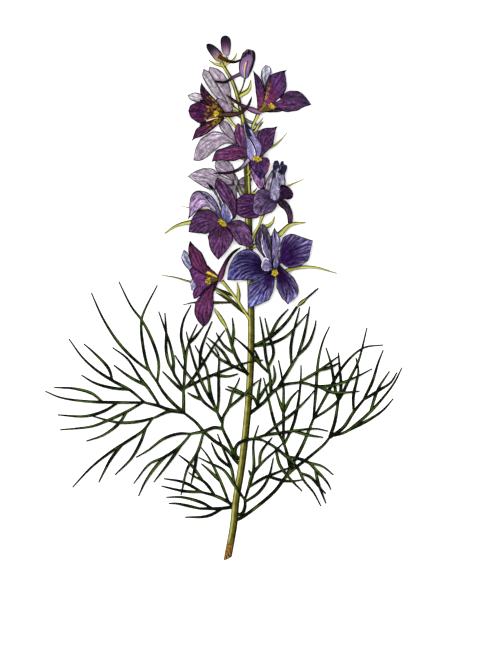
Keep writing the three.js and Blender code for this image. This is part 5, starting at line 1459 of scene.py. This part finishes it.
def thread_tree():
    """Threads along lines: a section with so many sides, flattened, with a groove along its top."""
    sizes = {"Sides": "NodeSocketInt", "Flatness": "NodeSocketFloat", "Groove": "NodeSocketFloat"}
    tree, given = new_tree("threads", sizes)
    share = add_node(tree, "GeometryNodeSplineParameter").outputs["Factor"]
    section = store(tree, circle(tree, given["Sides"]), "around", share)
    place = add_node(tree, "GeometryNodeInputPosition").outputs[0]
    parts = add_node(tree, "ShaderNodeSeparateXYZ", None, {0: place}).outputs
    flat = add_math(tree, "MULTIPLY", parts["Y"], given["Flatness"])
    top = add_math(tree, "GREATER_THAN", parts["Y"], 0.9)
    high = add_math(tree, "SUBTRACT", flat, add_math(tree, "MULTIPLY", top, given["Groove"]))
    spot = add_node(tree, "ShaderNodeCombineXYZ", None, {0: parts["X"], 1: high}).outputs[0]
    settings = {"operation": "SCALE"}
    turned = add_node(tree, "ShaderNodeVectorMath", settings, {0: spot, "Scale": -1.0}).outputs[0]
    inputs = {"Geometry": section, "Position": turned}
    section = add_node(tree, "GeometryNodeSetPosition", None, inputs).outputs[0]
    ended(tree, tubes_along(tree, given["Geometry"], section), given["Skin"])
    return tree


def stamen_tree():
    """Filaments along lines, and at the end of each an anther of two lobes, turned at random."""
    sizes = {"Lobe": "NodeSocketFloat", "Seed": "NodeSocketInt"}
    tree, given = new_tree("stamens", sizes)
    tubes = tubes_along(tree, given["Geometry"], circle(tree, 6))
    filaments = store(tree, tubes, "pollen", 0.0)
    inputs = {"Segments": 8, "Rings": 6, "Radius": given["Lobe"]}
    ball = add_node(tree, "GeometryNodeMeshUVSphere", None, inputs)
    lobes = add_node(tree, "GeometryNodeJoinGeometry")
    for aside in (-1, 1):
        shift = add_math(tree, "MULTIPLY", given["Lobe"], aside * 0.62)
        spot = add_node(tree, "ShaderNodeCombineXYZ", None, {0: shift}).outputs[0]
        inputs = {"Geometry": ball.outputs["Mesh"], "Translation": spot, "Scale": (0.8, 0.75, 1.5)}
        lobe = add_node(tree, "GeometryNodeTransform", None, inputs).outputs[0]
        tree.links.new(lobe, lobes.inputs[0])
    anther = store(tree, lobes.outputs[0], "pollen", 1.0)
    ends = add_math(tree, "GREATER_THAN", named(tree, "along"), 0.99)
    turn = add_node(
        tree, "FunctionNodeRandomValue", {"data_type": "FLOAT_VECTOR"},
        {"Min": (-0.7, -0.7, 0), "Max": (0.7, 0.7, math.tau), "Seed": given["Seed"]},
    ).outputs[0]
    size = add_node(
        tree, "FunctionNodeRandomValue", {"data_type": "FLOAT"}, {2: 0.8, 3: 1.25, "Seed": given["Seed"]},
    ).outputs[1]
    inputs = {
        "Points": given["Geometry"], "Selection": ends, "Instance": anther, "Rotation": turn, "Scale": size,
    }
    anthers = add_node(tree, "GeometryNodeInstanceOnPoints", None, inputs).outputs[0]
    both = add_node(tree, "GeometryNodeJoinGeometry")
    for part in (filaments, anthers):
        tree.links.new(part, both.inputs[0])
    ended(tree, both.outputs[0], given["Skin"])
    return tree


def grown(name, lines, tree, sizes):
    """A piece that a tree makes from lines, each with its points, its radii and its painted values."""
    mesh = bpy.data.meshes.new(name)
    points = np.vstack([line["points"] for line in lines]) * MM
    counts = [len(line["points"]) for line in lines]
    starts = np.cumsum([0, *counts])
    edges = [(i, i + 1) for a, b in zip(starts, starts[1:]) for i in range(a, b - 1)]
    mesh.from_pydata(points.tolist(), edges, [])
    paint(mesh, "thick", np.concatenate([line["radii"] for line in lines]) * MM)
    paint(mesh, "along", np.concatenate([np.linspace(0, 1, n) for n in counts]))
    for value in lines[0]["values"]:
        each = [np.broadcast_to(line["values"][value], (n, *np.shape(line["values"][value])))
                for line, n in zip(lines, counts)]
        paint(mesh, value, np.concatenate(each).astype(float))
    piece = shown(name, mesh)
    maker = piece.modifiers.new("maker", "NODES")
    maker.node_group = tree
    for item in tree.interface.items_tree:
        if item.in_out == "INPUT" and item.name in sizes:
            maker[item.identifier] = sizes[item.name]
    seen = piece.evaluated_get(bpy.context.evaluated_depsgraph_get())
    plain = bpy.data.meshes.new_from_object(seen)
    piece.modifiers.remove(maker)
    piece.data = plain
    bpy.data.meshes.remove(mesh)
    plain.name = name
    return piece


def threads(name, lines, skins, skin, sides, flatness, groove=0.0):
    """Lines as threads, with so many sides, flattened and grooved."""
    sizes = {"Sides": sides, "Flatness": flatness, "Groove": groove, "Skin": skins[skin]}
    return grown(name, lines, skins["threads"], sizes)


# ---- Lines ----

THREAD_STEP = 0.9  # how far apart a thread's points are
ROOT_BELOW = 1.2  # a foot sits so far down the stem from where its route starts
ROOT_OUT = 0.35  # and so far out of the stem's middle, as a share of the way to that start


def line(route, radii, **values):
    """A smooth thread through a route's points."""
    length = travelled(np.array(route, float))[-1]
    count = max(6, math.ceil(length / THREAD_STEP))
    return {"points": smooth(route, count), "radii": spread(radii, count), "values": values}


def rooted(points, near=3):
    """A route with its foot set into the stem, where it starts so near it."""
    stem = smooth(STEM_ROUTE, 200)
    first = np.array(points[0], float)
    below = first - (0, ROOT_BELOW, 0)
    nearest = stem[np.linalg.norm(stem - below, axis=1).argmin()]
    if np.linalg.norm(nearest[[0, 2]] - first[[0, 2]]) > near:
        return points
    return [tuple(nearest + (first - nearest) * ROOT_OUT), *points]


def leaf_lines(leaf, dice):
    """All threads of a leaf, each starting on the nearest point of an earlier one."""
    base, (reaches, heights) = leaf["base"], zip(*leaf["height"])
    lines = []
    stalks = [(route, LEAF_STALK_RADII) for route in leaf["stalks"]]
    segments = [(route, LEAF_SEGMENT_RADII) for route in leaf["segments"]]
    for route, radii in stalks + segments:
        away = [math.dist(spot, base) for spot in route]
        points = [(*spot, float(np.interp(far, reaches, heights))) for spot, far in zip(route, away)]
        if lines:
            there = np.vstack([each["points"] for each in lines])
            gap = np.hypot(there[:, 0] - route[0][0], there[:, 1] - route[0][1])
            points[0] = tuple(there[gap.argmin()])
        else:
            points = rooted(points, 4)
        lines.append(line(points, radii, tint=dice.random(), shade=0))
    return lines


# ---- Bodies: stem, buds ----

def rings(centres, radii, sides, shape_of, flat=1.0):
    """Points of rings round a line that lies roughly level, and how far round each point is."""
    heading = unit(np.gradient(centres, axis=0))
    aside = unit(np.cross(heading, (0, 0, 1)))
    up = np.cross(aside, heading)
    around = np.arange(sides) / sides
    angle = around * math.tau
    along = np.linspace(0, 1, len(centres))
    size = np.asarray(radii)[:, None] * shape_of(along[:, None], angle[None, :])
    out = size[..., None] * (
        aside[:, None] * np.cos(angle)[None, :, None] + flat * up[:, None] * np.sin(angle)[None, :, None]
    )
    return centres[:, None] + out, along, around


def closed_body(shape, places, **values):
    """Adds rings as a closed skin with a point at each end."""
    rows, sides = places.shape[:2]
    faces = grid_faces(rows, sides, closed=True)
    poles = [places[0].mean(axis=0), places[-1].mean(axis=0)]
    low, high = rows * sides, rows * sides + 1
    last = (rows - 1) * sides
    for i in range(sides):
        beside = (i + 1) % sides
        faces += [(low, beside, i), (high, last + i, last + beside)]
    points = np.vstack([places.reshape(-1, 3), poles])
    full = {}
    for name, value in values.items():
        value = np.asarray(value, float)
        if value.shape[:2] == (rows, sides):
            ends = [value[0].mean(axis=0), value[-1].mean(axis=0)]
            value = np.concatenate([value.reshape(rows * sides, *value.shape[2:]), ends])
        full[name] = value
    shape.add(points, faces, **full)


STEM_SIDES = 60
STEM_ROWS = 260
STEM_RIDGES = 9
FINE_RIDGES = 23
CUT_SIDE = np.array([-0.8, 0, 0.3])  # the cut slopes up towards this side
CUT_SLOPE = 0.85  # how slantingly the stem is cut
CUT_BACK = 0.7  # how far the middle of the cut lies back
CUT_REACH = 4  # how far up the stem the slant fades out
PITH = [(1, 0), (0.86, -0.1), (0.7, -0.28), (0.4, -0.2), (0.16, -0.34)]  # rings of the cut: size, depth


def ridged(along, angle):
    """The stem's radius round it, as a share: broad ridges that wander, and fine ones."""
    wave = np.cos(angle * STEM_RIDGES + 1.4 * np.sin(along * 5))
    fine = np.cos(angle * FINE_RIDGES + along * 9)
    return 1 + 0.045 * wave + 0.012 * fine


def cut_slant(offset):
    """How far points of the cut end are moved along the stem."""
    return (offset @ CUT_SIDE * CUT_SLOPE - CUT_BACK)[..., None]


def make_stem(skin):
    """The stem, with a slanted cut end and its hollow pith."""
    centres = smooth(STEM_ROUTE, STEM_ROWS)
    radii = spread(STEM_RADII, STEM_ROWS)
    places, along, around = rings(centres, radii, STEM_SIDES, ridged)
    first = places[0] - centres[0]
    lean = (centres[0] - centres[1]) / np.linalg.norm(centres[0] - centres[1])
    fading = np.clip(1 - travelled(centres) / CUT_REACH, 0, 1)[:, None, None]
    places = places + fading * cut_slant(places - centres[:, None]) * lean
    rings_of_cut = []
    for size, depth in reversed(PITH[1:]):
        ring = first * size
        rings_of_cut.append(centres[0] + ring + lean * depth + cut_slant(ring) * lean)
    cut_rows = len(rings_of_cut)
    places = np.concatenate([np.array(rings_of_cut), places])
    full = np.zeros(places.shape[:2])
    share = np.concatenate([np.zeros(cut_rows), along])[:, None]
    cut = np.concatenate([np.ones(cut_rows), np.zeros(len(along))])[:, None]
    shape = Shape()
    closed_body(shape, places, along=share + full, around=around[None, :] + full, cut=cut + full)
    return shape.piece("stem_skin_and_pith", skin)


BUD_SIDES = 30
BUD_ROWS = 30
GREEN_BUD_ROWS = 24
BUD_FLAT = 0.9  # how high a bud is for its width
BUD_SPUR_RADII = [0.9, 0.8, 0.66, 0.56, 0.5, 0.4]
BUD_SPUR_TIP = "14060e"


def wrapped(along, angle):
    """Where a point lies across the three sepals of a bud, which twist round it."""
    return 3 * angle + 2.2 * along


def bud_form(along, angle):
    """Three broad sepals wrapped round each other, with a notch where they meet."""
    return 1 + 0.05 * np.cos(wrapped(along, angle))


def bud_body(shape, centres, radii, marks=(), **constants):
    """Adds the closed body of a bud round a line."""
    places, along, around = rings(centres, radii, BUD_SIDES, bud_form, BUD_FLAT)
    angle = around * math.tau
    seam = np.clip((-np.cos(wrapped(along[:, None], angle[None, :])) - 0.9) / 0.1, 0, 1)
    full = np.zeros(seam.shape)
    side = np.cos(angle)[None, :] + full
    mark, ink = painted(along[:, None] + full, side, marks)
    values = {"along": along[:, None] + full, "seam": seam, "side": side, "mark": mark, "ink": ink}
    closed_body(shape, places, **values, **constants)


def make_bud(name, bud, skins):
    """A mauve bud and its spur."""
    one, other = smooth(bud["one"], BUD_ROWS), smooth([*bud["other"], bud["one"][-1]], BUD_ROWS)
    low, high = bud["heights"]
    centres = np.column_stack([(one + other) / 2, np.linspace(low, high, BUD_ROWS + 1)])
    radii = np.linalg.norm(other - one, axis=1) / 2
    shape = Shape()
    colours = {key: linear(code) for key, code in zip(("base", "body", "tip"), bud["paint"])}
    bud_body(shape, centres, radii, bud.get("marks", ()), **colours)
    body = shape.piece(f"bud_{name}_body", skins["bud"])
    near, far = linear(bud["spur_paint"]), linear(BUD_SPUR_TIP)
    route = line(bud["spur"], BUD_SPUR_RADII, near=near, far=far)
    spur = threads(f"bud_{name}_spur", [route], skins, "spur", sides=12, flatness=0.9)
    return [body, spur]


def make_green_bud(name, bud, skin):
    """A small green bud."""
    centres = smooth([bud["base"], bud["tip"]], GREEN_BUD_ROWS)
    radii = spread(bud["form"], GREEN_BUD_ROWS) * bud["wide"] / 2
    shape = Shape()
    bud_body(shape, centres, radii, shade=bud["shade"])
    return shape.piece(f"green_bud_{name}_body", skin)


# ---- Flowers ----

STALK_RADII = np.array([0.75, 0.62, 0.56, 0.62, 0.8])
BRACT_RADII = np.array([0.36, 0.5, 0.6, 0.58, 0.5, 0.4, 0.28, 0.14])
SPUR_RADII = np.array([0.6, 1.2, 1.25, 1, 0.85, 0.75, 0.66, 0.6, 0.52, 0.12])
RECEPTACLE = 1.2  # the spur's mouth and the filaments start so far from the flower's middle
FILAMENTS = 20
FILAMENT_RADII = [0.12, 0.09, 0.07]
LOBE = 0.31  # half the width of an anther's lobe
TUFT = 1.15  # half the width of the tuft at its top


def make_sheets(name, parts, face, at, build, lines, skin):
    """All sepals or all petals of a flower, as one piece."""
    shape = Shape()
    for number, part in enumerate(parts):
        sheet(shape, part, face, build, lines, number * GOLDEN_ANGLE)
    shape.points = [points + np.array(at) for points in shape.points]
    return shape.piece(name, skin)


def make_spur(name, flower, skins):
    """The hollow spur that grows out of the back of the calyx."""
    at = np.array(flower["at"], float)
    middle = np.array([(0, 0, 0), *flower["spur"]], float)
    mouth = -unit(middle[1]) * RECEPTACLE
    route = np.vstack([mouth, middle]) + at
    near, far = (linear(code) for code in flower["spur_paint"])
    radii = SPUR_RADII * flower.get("girth", 1)
    return threads(name, [line(route, radii, near=near, far=far)], skins, "spur", sides=14, flatness=0.92)


def make_stamens(name, flower, skins, dice):
    """A tuft of filaments that spread from the receptacle and carry the anthers."""
    at, middle = np.array(flower["at"], float), np.array(flower["stamens"], float)
    foot = unit(middle) * RECEPTACLE
    aside = unit(np.cross(middle, (0.3, 1, 0.2)))
    upright = unit(np.cross(middle, aside))
    broad, tall, tilt = flower.get("tuft", (1, 1, 0))
    lines = []
    for number in range(FILAMENTS):
        angle, far = number * GOLDEN_ANGLE, TUFT * math.sqrt((number + 0.5) / FILAMENTS)
        x, y = broad * math.cos(angle), tall * math.sin(angle)
        x, y = x * math.cos(tilt) - y * math.sin(tilt), x * math.sin(tilt) + y * math.cos(tilt)
        spot = (aside * x + upright * y) * far
        end = middle * dice.uniform(0.86, 1.06) + spot
        bend = (foot + end) / 2 + spot * 0.25
        lines.append(line([at + foot + spot * 0.25, at + bend, at + end], FILAMENT_RADII, tint=0.0))
    sizes = {"Lobe": LOBE * MM, "Seed": dice.randrange(1000), "Skin": skins["anther"]}
    return grown(name, lines, skins["stamens"], sizes)


def make_stalk(name, part, route, skins, dice):
    """A stalk with its bracts."""
    radii = STALK_RADII * part.get("slim", 1)
    lines = [line(rooted(route), radii, tint=dice.random(), shade=part.get("shade", 0.0))]
    count = len(part["bracts"])
    wides, shades = part.get("wide", [1] * count), part.get("shades", [0] * count)
    for bract, wide, shade in zip(part["bracts"], wides, shades):
        lines.append(line(rooted(bract), BRACT_RADII * wide, tint=dice.random(), shade=shade))
    return threads(f"{name}_stalk_and_bracts", lines, skins, "stalk", sides=10, flatness=0.72, groove=0.12)


# ---- The plant ----

SEED = 18


def stand_for(pieces, slot, *nodes):
    """These pieces show instead of the plain nodes, and ride with the plant."""
    for piece in pieces:
        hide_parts(*nodes)
        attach(piece, "root")


def make_flower(name, flower, skins, dice):
    """A flower: the sepals with the spur, the hood and the stamens stand for one node each."""
    at, face, veined = flower["at"], flower["face"], skins["veined"]
    sepals = make_sheets(f"{name}_sepals", flower["sepals"], face, at, SEPAL, flower["lines"], veined)
    spur = make_spur(f"{name}_spur", flower, skins)
    stand_for([sepals, spur], flower["slot"], f"{name}_calyx")
    hood = make_sheets(f"{name}_hood", flower["petals"], face, at, PETAL, PETAL_LINES, veined)
    stand_for([hood], "petal_lavender", f"{name}_petals")
    tuft = make_stamens(f"{name}_anthers", flower, skins, dice)
    stand_for([tuft], "anther_yellow", f"{name}_stamens")


def make_plant():
    """All pieces of the plant, from the stem to the green buds."""
    dice = random.Random(SEED)
    skins = {
        "veined": veined_skin(),
        "leaf": thread_skin("leaf_skin", "010201", "0a1104", "526c26", (0.42, 0.64)),
        "stalk": thread_skin("stalk_skin", "0e1004", "8a8a28", "e4e27c", (0.2, 0.5)),
        "spur": spur_skin(),
        "bud": bud_skin(),
        "green": green_skin(),
        "anther": anther_skin(),
        "threads": thread_tree(),
        "stamens": stamen_tree(),
    }
    stand_for([make_stem(stem_skin())], "stem_green", "stem")
    for name, leaf in LEAVES.items():
        lines = leaf_lines(leaf, dice)
        piece = threads(f"leaf_{name}_threads", lines, skins, "leaf", sides=8, flatness=0.62, groove=0.22)
        stand_for([piece], "leaf_green", f"leaf_{name}")
    for name, flower in FLOWERS.items():
        make_flower(f"{name}_flower", flower, skins, dice)
        stalk = FLOWER_STALKS[name]
        piece = make_stalk(f"{name}_flower", stalk, stalk["route"], skins, dice)
        stand_for([piece], "stalk_olive", f"{name}_flower_stalk")
    for name, bud in BUDS.items():
        stand_for(make_bud(name, bud, skins), "bud_mauve", f"bud_{name}")
        piece = make_stalk(f"bud_{name}", bud, bud["stalk"], skins, dice)
        stand_for([piece], "stalk_olive", f"bud_{name}_stalk")
    for name, bud in GREEN_BUDS.items():
        stand_for([make_green_bud(name, bud, skins["green"])], "stalk_olive", f"green_bud_{name}")


# ---- Studio ----

VIEW_MIDDLE = (10.6, -11)  # the middle of the picture
VIEW_HEIGHT = 260
VIEW_LEVEL = 10  # the height at which that many millimetres fill the picture
LENS = 800
SENSOR = 36
FAR_CLIP = 50  # in metres, like the lamp's and the floor's sizes
LAMP_AT = (-0.06, 0.06, 2.1)
LAMP_WIDE = 0.4
LAMP_POWER = 62
SKY_LIGHT = 0.5
FLOOR = 3  # half the floor's width


def make_camera():
    """A long lens straight above the plant."""
    data = bpy.data.cameras.new("camera")
    data.lens = LENS
    data.sensor_width = SENSOR
    data.clip_end = FAR_CLIP
    camera = bpy.data.objects.new("camera", data)
    distance = VIEW_HEIGHT * LENS / SENSOR + VIEW_LEVEL
    camera.location = (VIEW_MIDDLE[0] * MM, VIEW_MIDDLE[1] * MM, distance * MM)
    bpy.context.scene.collection.objects.link(camera)
    bpy.context.scene.camera = camera


def make_studio():
    """A white floor, an even white sky and one large soft light from overhead."""
    scene = bpy.context.scene
    scene.view_settings.view_transform = "Standard"
    world = bpy.data.worlds.new("sky")
    world.use_nodes = True
    world.node_tree.nodes["Background"].inputs["Color"].default_value = (1, 1, 1, 1)
    world.node_tree.nodes["Background"].inputs["Strength"].default_value = SKY_LIGHT
    scene.world = world
    lamp = bpy.data.lights.new("window", "AREA")
    lamp.shape = "DISK"
    lamp.size = LAMP_WIDE
    lamp.energy = LAMP_POWER
    window_light = bpy.data.objects.new("window", lamp)
    window_light.location = LAMP_AT
    aim = -window_light.location
    window_light.rotation_euler = aim.to_track_quat("-Z", "Y").to_euler()
    scene.collection.objects.link(window_light)
    skin = Skin("floor_skin")
    surface = {"Base Color": (0.95, 0.95, 0.94, 1), "Roughness": 1.0, "Specular IOR Level": 0.0}
    paper = skin.node("ShaderNodeBsdfPrincipled", None, surface)
    skin.node("ShaderNodeOutputMaterial", None, {"Surface": paper.outputs[0]})
    mesh = bpy.data.meshes.new("floor")
    corners = [(-FLOOR, -FLOOR, 0), (FLOOR, -FLOOR, 0), (FLOOR, FLOOR, 0), (-FLOOR, FLOOR, 0)]
    mesh.from_pydata(corners, [], [(0, 1, 2, 3)])
    shown("floor", mesh, skin.material)


make_camera()
make_plant()
make_studio()
